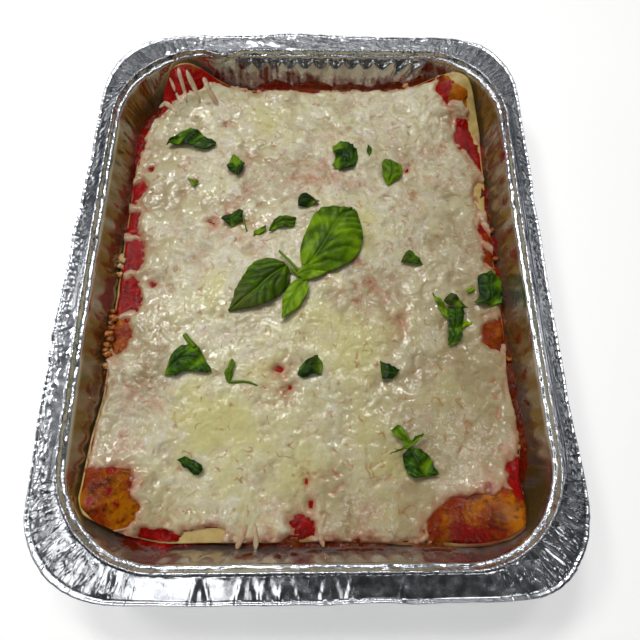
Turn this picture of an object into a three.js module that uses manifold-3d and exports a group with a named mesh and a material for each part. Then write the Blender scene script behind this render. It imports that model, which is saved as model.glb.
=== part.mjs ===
import * as THREE from "three";
import Module from "manifold-3d";

const wasm = await Module();
wasm.setup();

// Millimetres, Z up, Y along the pan, X across it.
// The pan, to the inner edge of its rim.
const rimHalfWidth = 119;
const rimHalfLength = 149.2;
const cornerRadius = 50;
const rimReach = 12.7;
const cornerReach = 8.4;
const panHeight = 56;
const foil = 0.8;
const wallSlope = Math.tan(THREE.MathUtils.degToRad(14));
const wallStart = 3.3;
const wallTop = panHeight - 5.5;
const archDrop = 3.5;
const fluteDepth = 1.2;
const footHeight = 5;
const sideBow = 2.4;
const clearGap = 0.3;

// The food, by height above the table.
const stackHeight = 32.6;
const sauceThick = 1;
const cheeseThick = 2.4;
const leafThick = 0.7;

const radians = THREE.MathUtils.degToRad;
const smooth = THREE.MathUtils.smoothstep;

// closed surface gathered point by point
class Shell {
  constructor() {
    this.points = [];
    this.faces = [];
  }

  addPoint(x, y, z) {
    this.points.push([x, y, z]);
    return this.points.length - 1;
  }

  addLoop(list) {
    return list.map(([x, y, z]) => this.addPoint(x, y, z));
  }

  // a band between two closed loops, stepping along whichever lags behind
  band(lower, lowerAt, upper, upperAt) {
    let i = 0;
    let j = 0;
    const ends = (at, k) => (k < at.length ? at[k] : 1);
    while (i < lower.length || j < upper.length) {
      const a = lower[i % lower.length];
      const b = upper[j % upper.length];
      const nextLower = i < lower.length ? ends(lowerAt, i + 1) : 2;
      const nextUpper = j < upper.length ? ends(upperAt, j + 1) : 2;
      if (nextLower <= nextUpper) {
        i += 1;
        this.faces.push([a, lower[i % lower.length], b]);
      } else {
        j += 1;
        this.faces.push([a, upper[j % upper.length], b]);
      }
    }
  }

  fan(loop, tip, turned) {
    loop.forEach((a, k) => {
      const b = loop[(k + 1) % loop.length];
      this.faces.push(turned ? [b, a, tip] : [a, b, tip]);
    });
  }

  quad(a, b, c, d) {
    this.faces.push([a, b, c], [a, c, d]);
  }

  // the faces, turned round together if they look inwards
  triangles() {
    let volume = 0;
    const p = this.points;
    for (const [a, b, c] of this.faces) {
      const [u, v, w] = [p[a], p[b], p[c]];
      volume += u[0] * (v[1] * w[2] - v[2] * w[1]);
      volume += u[1] * (v[2] * w[0] - v[0] * w[2]);
      volume += u[2] * (v[0] * w[1] - v[1] * w[0]);
    }
    return volume > 0 ? this.faces : this.faces.map(([a, b, c]) => [a, c, b]);
  }

  solid() {
    return new wasm.Manifold(new wasm.Mesh({
      numProp: 3,
      vertProperties: Float32Array.from(this.points.flat()),
      triVerts: Uint32Array.from(this.triangles().flat()),
    }));
  }

  geometry() {
    const geometry = new THREE.BufferGeometry();
    geometry.setAttribute("position", new THREE.Float32BufferAttribute(this.points.flat(), 3));
    geometry.setIndex(this.triangles().flat());
    return geometry;
  }
}

function solidGeometry(solid) {
  const cut = solid.getMesh();
  const geometry = new THREE.BufferGeometry();
  const places = [];
  for (let k = 0; k < cut.vertProperties.length; k += cut.numProp) {
    places.push(cut.vertProperties[k], cut.vertProperties[k + 1], cut.vertProperties[k + 2]);
  }
  geometry.setAttribute("position", new THREE.Float32BufferAttribute(places, 3));
  geometry.setIndex(Array.from(cut.triVerts));
  return geometry;
}

// Stations round the inner edge of the rim: four straights and four quarter circles,
// each with its outward direction and its share of the way round.
function walkRim(longSteps, cornerSteps, shortSteps) {
  const sideX = rimHalfWidth - cornerRadius;
  const sideY = rimHalfLength - cornerRadius;
  const stations = [];
  const arc = cornerRadius * Math.PI / 2;
  const whole = 4 * (sideX + sideY + arc);
  let gone = 0;
  const straight = (x0, y0, x1, y1, nx, ny, steps) => {
    const length = Math.hypot(x1 - x0, y1 - y0);
    for (let k = 0; k < steps; k += 1) {
      const t = k / steps;
      stations.push({
        x: x0 + (x1 - x0) * t, y: y0 + (y1 - y0) * t, nx, ny, at: (gone + length * t) / whole,
      });
    }
    gone += length;
  };
  const corner = (cx, cy, from) => {
    for (let k = 0; k < cornerSteps; k += 1) {
      const angle = from + (Math.PI / 2) * (k / cornerSteps);
      const nx = Math.cos(angle);
      const ny = Math.sin(angle);
      stations.push({
        x: cx + cornerRadius * nx, y: cy + cornerRadius * ny, nx, ny,
        at: (gone + arc * (k / cornerSteps)) / whole,
      });
    }
    gone += arc;
  };
  straight(rimHalfWidth, -sideY, rimHalfWidth, sideY, 1, 0, longSteps);
  corner(sideX, sideY, 0);
  straight(sideX, rimHalfLength, -sideX, rimHalfLength, 0, 1, shortSteps);
  corner(-sideX, sideY, Math.PI / 2);
  straight(-rimHalfWidth, sideY, -rimHalfWidth, -sideY, -1, 0, longSteps);
  corner(-sideX, -sideY, Math.PI);
  straight(-sideX, -rimHalfLength, sideX, -rimHalfLength, 0, -1, shortSteps);
  corner(sideX, -sideY, 1.5 * Math.PI);
  return stations;
}

// inward step of the pan's inner wall at a height
const wallInset = (z) => wallStart + Math.max(0, wallTop - z) * wallSlope;

// extra width of the flat rim at a corner, whose outer edge turns tighter than its inner one
const cornerShare = (s) => 1 + (cornerReach / rimReach) * 4 * s.nx ** 2 * s.ny ** 2;

// The rim's slope in degrees: level at both ends, bent down along the sides.
function rimSlope(station) {
  const left = 8 + 20 * smooth(station.y, -60, 100);
  const side = station.nx < 0 ? left : 23;
  const end = station.ny > 0 ? 1 : 3;
  return radians(side * station.nx ** 2 + end * station.ny ** 2);
}

// Pan: one skin from the middle of the floor up the fluted wall, over the rim
// with its bead and rolled edge, and back down the outside.
function foilPan() {
  const shell = new Shell();
  const fine = walkRim(40, 16, 28);
  const coarse = walkRim(16, 8, 10);
  const fineAt = fine.map((s) => s.at);
  const coarseAt = coarse.map((s) => s.at);
  const fineLoop = (inset, z, flute) => shell.addLoop(fine.map((s, k) => {
    const step = inset + (k % 2 ? 0 : flute);
    return [s.x - s.nx * step, s.y - s.ny * step, z];
  }));
  const rimLoop = (out, z) => shell.addLoop(coarse.map((s) => {
    const slope = out > 0 ? rimSlope(s) : 0;
    const width = out > 2 ? out * cornerShare(s) : out;
    const reach = out > 0 ? width * Math.cos(slope) - (panHeight - z) * Math.sin(slope) * 0.5 : out;
    const drop = out > 0 ? out * Math.sin(slope) : 0;
    return [s.x + s.nx * reach, s.y + s.ny * reach, z - drop];
  }));
  const h = panHeight;
  const skin = foil / Math.cos(Math.atan(wallSlope));
  const inner = [
    fineLoop(wallInset(foil) + 1.5, foil, 0),
    fineLoop(wallInset(footHeight), footHeight, fluteDepth),
    fineLoop(wallInset(wallTop - archDrop), wallTop - archDrop, fluteDepth),
    fineLoop(wallInset(wallTop), wallTop, 0),
  ];
  const rim = [
    rimLoop(-2.8, h - 3.4), rimLoop(-1.9, h - 3), rimLoop(-0.6, h - 0.5), rimLoop(0, h),
    rimLoop(1, h - 0.9), rimLoop(rimReach - 1.8, h - 0.9), rimLoop(rimReach - 0.8, h - 0.3),
    rimLoop(rimReach, h - 1.1), rimLoop(rimReach, h - 2.6), rimLoop(rimReach - 1.2, h - 2.8),
    rimLoop(rimReach - 1.9, h - 1.7), rimLoop(1.2, h - 1.7), rimLoop(0.2, h - 1.9),
    rimLoop(-1.1, h - 3.7), rimLoop(-2, h - 4.1),
  ];
  const outer = [
    fineLoop(wallInset(wallTop) - skin, wallTop - 0.2, 0),
    fineLoop(wallInset(wallTop - archDrop) - skin, wallTop - archDrop, fluteDepth),
    fineLoop(wallInset(footHeight) - skin, footHeight - 0.2, fluteDepth),
    fineLoop(wallInset(0) + 0.4, 0, 0),
  ];
  const loops = [
    ...inner.map((loop) => [loop, fineAt]),
    ...rim.map((loop) => [loop, coarseAt]),
    ...outer.map((loop) => [loop, fineAt]),
  ];
  for (let k = 0; k + 1 < loops.length; k += 1) {
    shell.band(loops[k][0], loops[k][1], loops[k + 1][0], loops[k + 1][1]);
  }
  shell.fan(inner[0], shell.addPoint(0, 0, foil), true);
  shell.fan(outer[3], shell.addPoint(0, 0, 0), false);
  return shell.geometry();
}

// Places where the baked stack has drawn back from the wall: middle, spread, depth.
const hollows = [
  { x: -112, y: -45, spread: 34, depth: 2 },
  { x: 110, y: -75, spread: 26, depth: 3.4 },
  { x: -88, y: -143, spread: 14, depth: 3.4 },
  { x: -113, y: 118, spread: 15, depth: 7.5 },
  { x: 117, y: -108, spread: 16, depth: 5 },
  { x: 10, y: -141, spread: 22, depth: 1.2 },
  { x: 110, y: 48, spread: 9, depth: 3 },
];

function drawnBack(x, y) {
  let total = 0;
  for (const hollow of hollows) {
    const away = (x - hollow.x) ** 2 + (y - hollow.y) ** 2;
    total += hollow.depth * Math.exp(-away / (2 * hollow.spread ** 2));
  }
  return total + 0.4 * (1 + Math.sin(x / 9 + y / 13)) * 0.5;
}

// side of the stack at a height: parallel to the wall, clear of its flutes
const stackInset = (s, z) => wallInset(z) + fluteDepth + 0.4 + drawnBack(s.x, s.y);

// Corners of the upper sheet that lean up against the wall: middle, spread and lift.
const raisedCorners = [
  { x: -83, y: 143, spread: 15, lift: 19.5 },
  { x: 96, y: 136, spread: 16, lift: 18.5 },
  { x: -106, y: -124, spread: 16, lift: 17 },
  { x: 96, y: -131, spread: 16, lift: 15.5 },
];

// height of the stack's upper sheet: nearly level between its raised corners
function stackTop(x, y) {
  let height = stackHeight + 0.8 * Math.cos(x / 46 + 0.4) * Math.cos(y / 60 - 0.3);
  for (const corner of raisedCorners) {
    const away = (x - corner.x) ** 2 + (y - corner.y) ** 2;
    height += corner.lift * Math.exp(-away / (2 * corner.spread ** 2));
  }
  return height;
}

const sauceTop = (x, y) => stackTop(x, y) + clearGap + sauceThick;

// Melted cheese over it, in soft lumps.
function cheeseTop(x, y) {
  const lumps = 0.55 * Math.sin(x / 13 + 0.8 * Math.sin(y / 19)) * Math.cos(y / 16 + 0.5)
    + 0.35 * Math.sin((x - y) / 9.5);
  return sauceTop(x, y) + clearGap + cheeseThick + lumps;
}

// grid lines across the food, closer together towards its edges and raised corners
function spread(half, count) {
  const crowding = 0.5;
  return Array.from({ length: count + 1 }, (_, k) => {
    const t = (2 * k) / count - 1;
    return half * ((1 - crowding) * t + crowding * Math.sin((Math.PI / 2) * t));
  });
}

// a block between two height functions over a rectangle of cells
function slab(xs, ys, low, lowXs, lowYs, high) {
  const shell = new Shell();
  const layer = (gx, gy, height) => gx.map((x) => gy.map((y) => shell.addPoint(x, y, height(x, y))));
  const cells = (grid, gx, gy, turned) => {
    for (let i = 0; i + 1 < gx.length; i += 1) {
      for (let j = 0; j + 1 < gy.length; j += 1) {
        const [a, b, c, d] = [grid[i][j], grid[i + 1][j], grid[i + 1][j + 1], grid[i][j + 1]];
        if (turned) shell.quad(a, d, c, b);
        else shell.quad(a, b, c, d);
      }
    }
  };
  const edge = (grid) => {
    const last = grid.length - 1;
    const end = grid[0].length - 1;
    const loop = [];
    for (let i = 0; i < last; i += 1) loop.push([grid[i][0], i / last / 4]);
    for (let j = 0; j < end; j += 1) loop.push([grid[last][j], 0.25 + j / end / 4]);
    for (let i = last; i > 0; i -= 1) loop.push([grid[i][end], 0.5 + (1 - i / last) / 4]);
    for (let j = end; j > 0; j -= 1) loop.push([grid[0][j], 0.75 + (1 - j / end) / 4]);
    return loop;
  };
  const lowGrid = layer(lowXs, lowYs, low);
  const highGrid = layer(xs, ys, high);
  cells(lowGrid, lowXs, lowYs, true);
  cells(highGrid, xs, ys, false);
  const lowEdge = edge(lowGrid);
  const highEdge = edge(highGrid);
  shell.band(lowEdge.map((e) => e[0]), lowEdge.map((e) => e[1]),
    highEdge.map((e) => e[0]), highEdge.map((e) => e[1]));
  return shell.solid();
}

// an upright block on a closed outline
function prism(outline, low, high) {
  const shell = new Shell();
  const at = outline.map((_, k) => k / outline.length);
  const foot = shell.addLoop(outline.map(([x, y]) => [x, y, low]));
  const head = shell.addLoop(outline.map(([x, y]) => [x, y, high]));
  const middleX = outline.reduce((sum, p) => sum + p[0], 0) / outline.length;
  const middleY = outline.reduce((sum, p) => sum + p[1], 0) / outline.length;
  shell.band(foot, at, head, at);
  shell.fan(foot, shell.addPoint(middleX, middleY, low), true);
  shell.fan(head, shell.addPoint(middleX, middleY, high), false);
  return shell.solid();
}

const insetOutline = (stations, inset) => stations.map((s) => {
  const step = inset(s);
  return [s.x - s.nx * step, s.y - s.ny * step];
});

const coarseXs = spread(126, 17);
const coarseYs = spread(156, 20);
const fineXs = spread(126, 21);
const fineYs = spread(156, 24);

// Stack of pasta sheets and filling: a loaf shaped by the pan, under its upper sheet.
function pastaStack() {
  const shell = new Shell();
  const stations = walkRim(12, 5, 8);
  const at = stations.map((s) => s.at);
  const levels = [foil + clearGap, 10, 22, 60];
  const loops = levels.map((z) => shell.addLoop(stations.map((s) => {
    const bulge = z === 22 ? -0.2 : 0;
    const step = stackInset(s, z) + bulge + (z < 5 ? 1.5 : 0);
    return [s.x - s.nx * step, s.y - s.ny * step, z];
  })));
  for (let k = 0; k + 1 < loops.length; k += 1) shell.band(loops[k], at, loops[k + 1], at);
  shell.fan(loops[0], shell.addPoint(0, 0, levels[0]), true);
  shell.fan(loops[3], shell.addPoint(0, 0, levels[3]), false);
  const under = slab(coarseXs, coarseYs, () => -5, [-126, 126], [-156, 156], stackTop);
  return shell.solid().intersect(under);
}

// Tomato sauce over the upper sheet, leaving the sheet's own edge bare in places.
const bareEdges = [
  { x: 100, y: 128, spread: 12, depth: 9 },
  { x: 108, y: 56, spread: 9, depth: 6 },
  { x: -100, y: -126, spread: 16, depth: 3 },
  { x: -112, y: -2, spread: 22, depth: 2.5 },
  { x: -48, y: -141, spread: 12, depth: 7 },
];

function tomatoSauce() {
  const outline = insetOutline(walkRim(14, 6, 10), (s) => {
    let step = stackInset(s, 35) + 1;
    for (const bare of bareEdges) {
      const away = (s.x - bare.x) ** 2 + (s.y - bare.y) ** 2;
      step += bare.depth * Math.exp(-away / (2 * bare.spread ** 2));
    }
    return step;
  });
  const layer = slab(coarseXs, coarseYs, (x, y) => stackTop(x, y) + clearGap,
    coarseXs, coarseYs, sauceTop);
  return prism(outline, 10, 70).intersect(layer);
}

// Spots that the cheese leaves bare: middle, length, width and turn in degrees.
const bareSpots = [
  [-80, 138, 46, 27, 24], [-112, 84, 40, 13, 80], [-104, 56, 10, 8, 6], [-110, 40, 24, 12, 168],
  [-103, 8, 30, 10, 100], [-103, -12, 26, 11, 112], [-106, -38, 26, 14, 78],
  [-101, -119, 36, 30, 160], [-80, -140, 32, 9, 167], [-50, -139, 28, 14, 0],
  [-4, -129, 18, 11, 138], [30, -145, 58, 7, 177], [80, -130, 48, 25, 12],
  [103, -112, 22, 11, 76], [109, -54, 22, 8, 86], [102, -31, 21, 14, 84],
  [107, 27, 31, 8, 110], [110, 57, 24, 12, 90], [103, 97, 34, 14, 99], [97, 127, 42, 25, 105],
];

function spotOutline([x, y, long, wide, turn]) {
  const count = long > 20 ? 14 : 9;
  const c = Math.cos(radians(turn));
  const s = Math.sin(radians(turn));
  return Array.from({ length: count }, (_, k) => {
    const angle = (2 * Math.PI * k) / count;
    const ragged = 1 + 0.11 * Math.sin(3 * angle + x) + 0.07 * Math.cos(5 * angle + y);
    const along = (long / 2) * Math.cos(angle) * ragged;
    const across = (wide / 2) * Math.sin(angle) * ragged;
    return [x + along * c - across * s, y + along * s + across * c];
  });
}

function meltedCheese() {
  const outline = insetOutline(walkRim(30, 10, 20), (s) => {
    const ragged = 1 + Math.sin(s.x / 5.1 + s.y / 7.3) * Math.cos(s.x / 11 - s.y / 8.7);
    return stackInset(s, 37) + 0.4 + 1.1 * ragged;
  });
  const layer = slab(fineXs, fineYs, (x, y) => sauceTop(x, y) + clearGap,
    coarseXs, coarseYs, cheeseTop);
  let cover = prism(outline, 10, 70);
  for (const spot of bareSpots) cover = cover.subtract(prism(spotOutline(spot), 5, 75));
  const parts = cover.intersect(layer).decompose();
  parts.sort((a, b) => b.volume() - a.volume());
  return parts[0];
}

// height of the flat-faced cheese under a point, read off its cells
function cheeseAt(x, y) {
  const cell = (list, value) => list.filter((line) => line <= value).length - 1;
  const i = cell(fineXs, x);
  const j = cell(fineYs, y);
  const u = (x - fineXs[i]) / (fineXs[i + 1] - fineXs[i]);
  const v = (y - fineYs[j]) / (fineYs[j + 1] - fineYs[j]);
  const a = cheeseTop(fineXs[i], fineYs[j]);
  const b = cheeseTop(fineXs[i + 1], fineYs[j]);
  const c = cheeseTop(fineXs[i + 1], fineYs[j + 1]);
  const d = cheeseTop(fineXs[i], fineYs[j + 1]);
  return v < u ? a + (b - a) * u + (c - b) * v : a + (d - a) * v + (c - d) * u;
}

// A leaf or a torn piece of one: a thin wavy sheet along a bent middle line.
// The width runs through its values at the start, the middle and the end.
function leafSheet(leaf, along, across) {
  const shell = new Shell();
  const { x, y, long, turn, widths, bow = 0, arch = 1, raise = 0, ripple = 0.25, tip = 0 } = leaf;
  const c = Math.cos(radians(turn));
  const s = Math.sin(radians(turn));
  const rows = [];
  for (let i = 0; i <= along; i += 1) {
    const t = i / along;
    const mid = widths[1] * 4 * t * (1 - t);
    const flat = widths[0] * (1 - t) * (1 - 2 * t) + widths[2] * t * (2 * t - 1);
    const half = Math.max(0.4, (mid + flat) / 2);
    const centre = bow * (0.5 - (2 * t - 1) ** 2);
    const row = [];
    for (let j = 0; j <= across; j += 1) {
      const v = (2 * j) / across - 1;
      const px = x + long * (t - 0.5) * c - (centre + v * half) * s;
      const py = y + long * (t - 0.5) * s + (centre + v * half) * c;
      const dome = arch * (1 - v * v * 0.8) * Math.sin(Math.PI * (0.15 + 0.7 * t));
      const wave = ripple * Math.sin(2.6 * v + 5 * t + x);
      const z = cheeseAt(px, py) + 0.45 + raise + dome + ripple + wave + tip * t * t;
      row.push([px, py, z]);
    }
    rows.push(row);
  }
  const low = rows.map((row) => shell.addLoop(row));
  const high = rows.map((row) => shell.addLoop(row.map(([px, py, pz]) => [px, py, pz + leafThick])));
  for (let i = 0; i < along; i += 1) {
    for (let j = 0; j < across; j += 1) {
      shell.quad(high[i][j], high[i + 1][j], high[i + 1][j + 1], high[i][j + 1]);
      shell.faces.push([low[i][j], low[i + 1][j + 1], low[i + 1][j]]);
      shell.faces.push([low[i][j], low[i][j + 1], low[i + 1][j + 1]]);
    }
  }
  for (let i = 0; i < along; i += 1) {
    shell.quad(low[i][0], low[i + 1][0], high[i + 1][0], high[i][0]);
    shell.quad(low[i + 1][across], low[i][across], high[i][across], high[i + 1][across]);
  }
  for (let j = 0; j < across; j += 1) {
    shell.quad(low[0][j + 1], low[0][j], high[0][j], high[0][j + 1]);
    shell.quad(low[along][j], low[along][j + 1], high[along][j + 1], high[along][j]);
  }
  return shell;
}

// round stalk through a few points
function stalk(places, radius) {
  const curve = new THREE.CatmullRomCurve3(places.map((p) => new THREE.Vector3(...p)));
  const round = new THREE.Shape();
  round.absarc(0, 0, radius, 0, 2 * Math.PI, false);
  const extruded = new THREE.ExtrudeGeometry(round, {
    steps: 8, curveSegments: 4, bevelEnabled: false, extrudePath: curve,
  });
  const place = extruded.getAttribute("position");
  const shell = new Shell();
  const known = new Map();
  const index = [];
  for (let k = 0; k < place.count; k += 1) {
    const p = [place.getX(k), place.getY(k), place.getZ(k)];
    const key = p.map((v) => Math.round(v * 1000)).join(" ");
    if (!known.has(key)) known.set(key, shell.addPoint(...p));
    index.push(known.get(key));
  }
  for (let k = 0; k < index.length; k += 3) {
    shell.faces.push([index[k], index[k + 1], index[k + 2]]);
  }
  return shell;
}

// Sprig of four leaves that grow from one short stalk.
const sprigLeaves = [
  { x: 11.5, y: 27.6, long: 46, turn: 52, widths: [7, 33, 12], arch: 4.6, raise: 1.4, bow: 2 },
  { x: -29.5, y: -6.5, long: 44, turn: 221, widths: [7, 25, 4], arch: 4.4, raise: 1.2, bow: -2 },
  { x: -10.5, y: -13.5, long: 27, turn: 238, widths: [5, 12.5, 2], arch: 1.4, raise: 0.8, bow: -1.5 },
  { x: -0.5, y: 2.5, long: 18, turn: 10, widths: [5, 11, 3], arch: 1.6, raise: 0.9, bow: 0 },
];

function basilSprig() {
  const ground = cheeseAt(-9, 4);
  let sprig = stalk([
    [-19, 16, cheeseAt(-19, 16) + 3.4], [-13, 10, ground + 3.8], [-8, 4, ground + 3],
    [-4, 0.5, ground + 2.2],
  ], 1.4).solid();
  sprigLeaves.forEach((leaf, k) => {
    const big = k < 2;
    sprig = sprig.add(leafSheet(leaf, big ? 10 : 6, big ? 6 : 4).solid());
  });
  return sprig;
}

// Torn pieces scattered over the cheese.
const tornPieces = {
  basil_01: { x: -75, y: 96, long: 30, turn: 172, widths: [5, 13, 1], bow: -6 },
  basil_02: { x: -47, y: 76, long: 14.4, turn: 136, widths: [3, 11, 6], bow: -2 },
  basil_03: { x: -73, y: 63, long: 7.2, turn: 164, widths: [3.5, 4, 1] },
  basil_04: { x: -46, y: 38, long: 13.3, turn: 34, widths: [6, 8, 3] },
  basil_05: { x: -29.5, y: 30, long: 9.3, turn: 28, widths: [2.5, 3.2, 2] },
  basil_06: { x: -16.5, y: 35, long: 17.4, turn: 194, widths: [2.5, 7.5, 1.5], bow: -3 },
  basil_07: { x: -3, y: 51, long: 12.5, turn: 18, widths: [3, 8, 1], bow: 2 },
  basil_08: { x: 20, y: 82, long: 19.5, turn: 134, widths: [8, 17, 7], bow: -2 },
  basil_09: { x: 36, y: 87, long: 7.3, turn: 76, widths: [1, 3.6, 1] },
  basil_10: { x: 50, y: 71, long: 16.5, turn: 86, widths: [4, 12.5, 9], bow: -1 },
  basil_11: { x: 59.5, y: 12, long: 12.9, turn: 172, widths: [1, 6, 7.5], bow: -1 },
  basil_12: { x: 82, y: -15, long: 14, turn: 156, widths: [1, 5.5, 6], raise: 3.6 },
  basil_13: { x: 80.5, y: -29, long: 22, turn: 262, widths: [8.5, 7.8, 8], raise: 1.7, arch: 0.6 },
  basil_14: { x: 73, y: -17, long: 17.5, turn: 116, widths: [1.5, 4.2, 1], arch: 0.4, ripple: 0.1 },
  basil_15: { x: 87.5, y: -28, long: 7, turn: 8, widths: [5, 4.5, 1], arch: 0.4, ripple: 0.1 },
  basil_16: { x: 89.4, y: -6.5, long: 5, turn: 48, widths: [1, 3.2, 1] },
  basil_17: { x: 101.6, y: -6, long: 21, turn: 78, widths: [12, 13, 3], arch: 1.6 },
  basil_18: { x: -66.5, y: -50, long: 25, turn: 4, widths: [1.5, 14.5, 2.5], bow: 6, arch: 1.6 },
  basil_19: { x: -43.5, y: -54, long: 13.1, turn: 76, widths: [3, 4.4, 2.5] },
  basil_20: { x: -0.5, y: -52, long: 14.3, turn: 10, widths: [4, 10.5, 6] },
  basil_21: { x: 41.5, y: -55, long: 11.4, turn: 158, widths: [7, 8, 3] },
  basil_22: { x: -60, y: -102, long: 13.1, turn: 142, widths: [7.5, 6.4, 3] },
  basil_23: { x: 54, y: -102, long: 16, turn: 106, widths: [9, 14, 9], arch: 1.5 },
  basil_24: { x: 47, y: -88, long: 13, turn: 130, widths: [5, 5, 2.5], raise: 2.6, arch: 0.6 },
  basil_25: { x: 50, y: -94, long: 20.5, turn: 32, widths: [1.5, 3.2, 2], raise: 4.4, bow: -2 },
};

const object = new THREE.Group();
object.name = "baked_lasagna";

function addNode(name, geometry, colour, metalness, roughness) {
  const material = new THREE.MeshStandardMaterial({ color: colour, metalness, roughness });
  const mesh = new THREE.Mesh(geometry, material);
  mesh.name = name;
  object.add(mesh);
}

addNode("foil_pan", foilPan(), 0xb8bcc2, 1, 0.35);
addNode("pasta_stack", solidGeometry(pastaStack()), 0xd8b56a, 0, 0.7);
addNode("tomato_sauce", solidGeometry(tomatoSauce()), 0x9c1a0c, 0, 0.4);
addNode("melted_cheese", solidGeometry(meltedCheese()), 0xe6dcb8, 0, 0.5);
addNode("basil_sprig", solidGeometry(basilSprig()), 0x3f7a1a, 0, 0.5);
for (const [name, piece] of Object.entries(tornPieces)) {
  addNode(name, leafSheet(piece, 4, 2).geometry(), 0x2e5c16, 0, 0.5);
}

// The pan's long sides lean the same way, most of all at the rim, and the food with them.
for (const mesh of object.children) {
  const place = mesh.geometry.getAttribute("position");
  for (let k = 0; k < place.count; k += 1) {
    const lean = sideBow * (place.getZ(k) / panHeight) * (1 - (place.getY(k) / rimHalfLength) ** 2);
    place.setX(k, place.getX(k) - lean);
  }
}

// Origin under the middle of the whole.
const bounds = new THREE.Box3();
for (const mesh of object.children) {
  mesh.geometry.computeBoundingBox();
  bounds.union(mesh.geometry.boundingBox);
}
const middle = bounds.getCenter(new THREE.Vector3());
for (const mesh of object.children) {
  mesh.geometry.translate(-middle.x, -middle.y, -bounds.min.z);
  mesh.geometry.computeVertexNormals();
}

export default object;
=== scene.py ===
import bpy
import numpy as np
from mathutils import Matrix


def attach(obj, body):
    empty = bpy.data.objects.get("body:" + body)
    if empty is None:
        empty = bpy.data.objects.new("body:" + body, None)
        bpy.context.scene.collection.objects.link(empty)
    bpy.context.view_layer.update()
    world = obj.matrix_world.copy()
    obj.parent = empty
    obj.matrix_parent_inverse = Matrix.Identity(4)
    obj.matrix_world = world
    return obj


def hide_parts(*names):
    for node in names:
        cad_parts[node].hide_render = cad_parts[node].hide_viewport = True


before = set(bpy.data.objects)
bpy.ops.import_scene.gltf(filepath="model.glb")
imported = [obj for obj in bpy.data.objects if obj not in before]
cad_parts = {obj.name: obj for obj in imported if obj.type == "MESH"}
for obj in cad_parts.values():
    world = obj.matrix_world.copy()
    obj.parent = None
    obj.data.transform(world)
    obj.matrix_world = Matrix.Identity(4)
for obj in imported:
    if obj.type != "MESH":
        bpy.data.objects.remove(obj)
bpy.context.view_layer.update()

# Shapes are worked out in millimetres, with x and y from the middle of the pan's rim and z from the table.
# The last step leans them with the pan and puts them into the frame in metres.
mm = 0.001
dish = {
    "halfWidth": 119.0,      # to the inner edge of the rim
    "halfLength": 149.2,
    "cornerRadius": 50.0,
    "height": 56.0,
    "wallStart": 3.3,        # the wall's step inwards under the rim
    "wallTop": 50.5,
    "wallSlope": 14.0,       # degrees
    "lean": 2.4,             # how far the long sides bow to the left at the rim
    "tableLevel": 0.2,       # up to here the pan's CAD points count as its flat underside
}
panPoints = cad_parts["foil_pan"].data.vertices
underside = np.array([point.co.xy for point in panPoints if point.co.z < dish["tableLevel"] * mm])
middleX, middleY = (underside.min(0) + underside.max(0)) / 2 / mm
print("lasagna: frame loaded, the dish stands at %.2f, %.2f mm" % (middleX, middleY))


# 3t^2 - 2t^3 between low and high
def smoothStep(value, low, high):
    t = np.clip((value - low) / (high - low), 0, 1)
    return t * t * (3 - 2 * t)


# a random value from -1 to 1 for each lattice point: the fraction of a large multiple of a sine
def latticeValues(i, j, seed):
    wave = np.sin(i * 127.1 + j * 311.7 + seed * 74.7) * 43758.5453
    return 2 * (wave - np.floor(wave)) - 1


# soft bumps: random values on a unit lattice, blended by 3t^2 - 2t^3 both ways
def softNoise(x, y, seed):
    i, j = np.floor(x), np.floor(y)
    u, v = smoothStep(x - i, 0, 1), smoothStep(y - j, 0, 1)
    low = latticeValues(i, j, seed) * (1 - u) + latticeValues(i + 1, j, seed) * u
    high = latticeValues(i, j + 1, seed) * (1 - u) + latticeValues(i + 1, j + 1, seed) * u
    return low * (1 - v) + high * v


# crumpled facets: random heights on a lattice, each cell two flat triangles
def facetNoise(x, y, seed):
    i, j = np.floor(x), np.floor(y)
    u, v = x - i, y - j
    a, b = latticeValues(i, j, seed), latticeValues(i + 1, j, seed)
    c, d = latticeValues(i + 1, j + 1, seed), latticeValues(i, j + 1, seed)
    return np.where(u > v, a + (b - a) * u + (c - b) * v, a + (d - a) * v + (c - d) * u)


# noise of one size plus half of itself at half that size, and so on
def layeredNoise(x, y, size, seed, layers=3):
    total = 0
    for k in range(layers):
        total = total + softNoise(x / size * 2 ** k, y / size * 2 ** k, seed + 7 * k) * 0.5 ** k
    return total


# a soft round spot, exp(-r^2 / 2s^2)
def roundSpot(x, y, cx, cy, spread):
    return np.exp(-((x - cx) ** 2 + (y - cy) ** 2) / (2 * spread ** 2))


# the strongest of several round spots: x, y, spread and, where it isn't 1, strength
def strongestSpot(x, y, spots):
    total = 0 * x
    for cx, cy, spread, *strength in spots:
        total = np.maximum(total, (strength or [1])[0] * roundSpot(x, y, cx, cy, spread))
    return total


# the dish's long sides bow to the left, more towards the rim:
# x - lean * z / height * (1 - (y / halfLength)^2)
def putInFrame(points):
    x, y, z = points.T
    bow = dish["lean"] * z / dish["height"] * (1 - (y / dish["halfLength"]) ** 2)
    return np.stack([x - bow + middleX, y + middleY, z], 1) * mm


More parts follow.
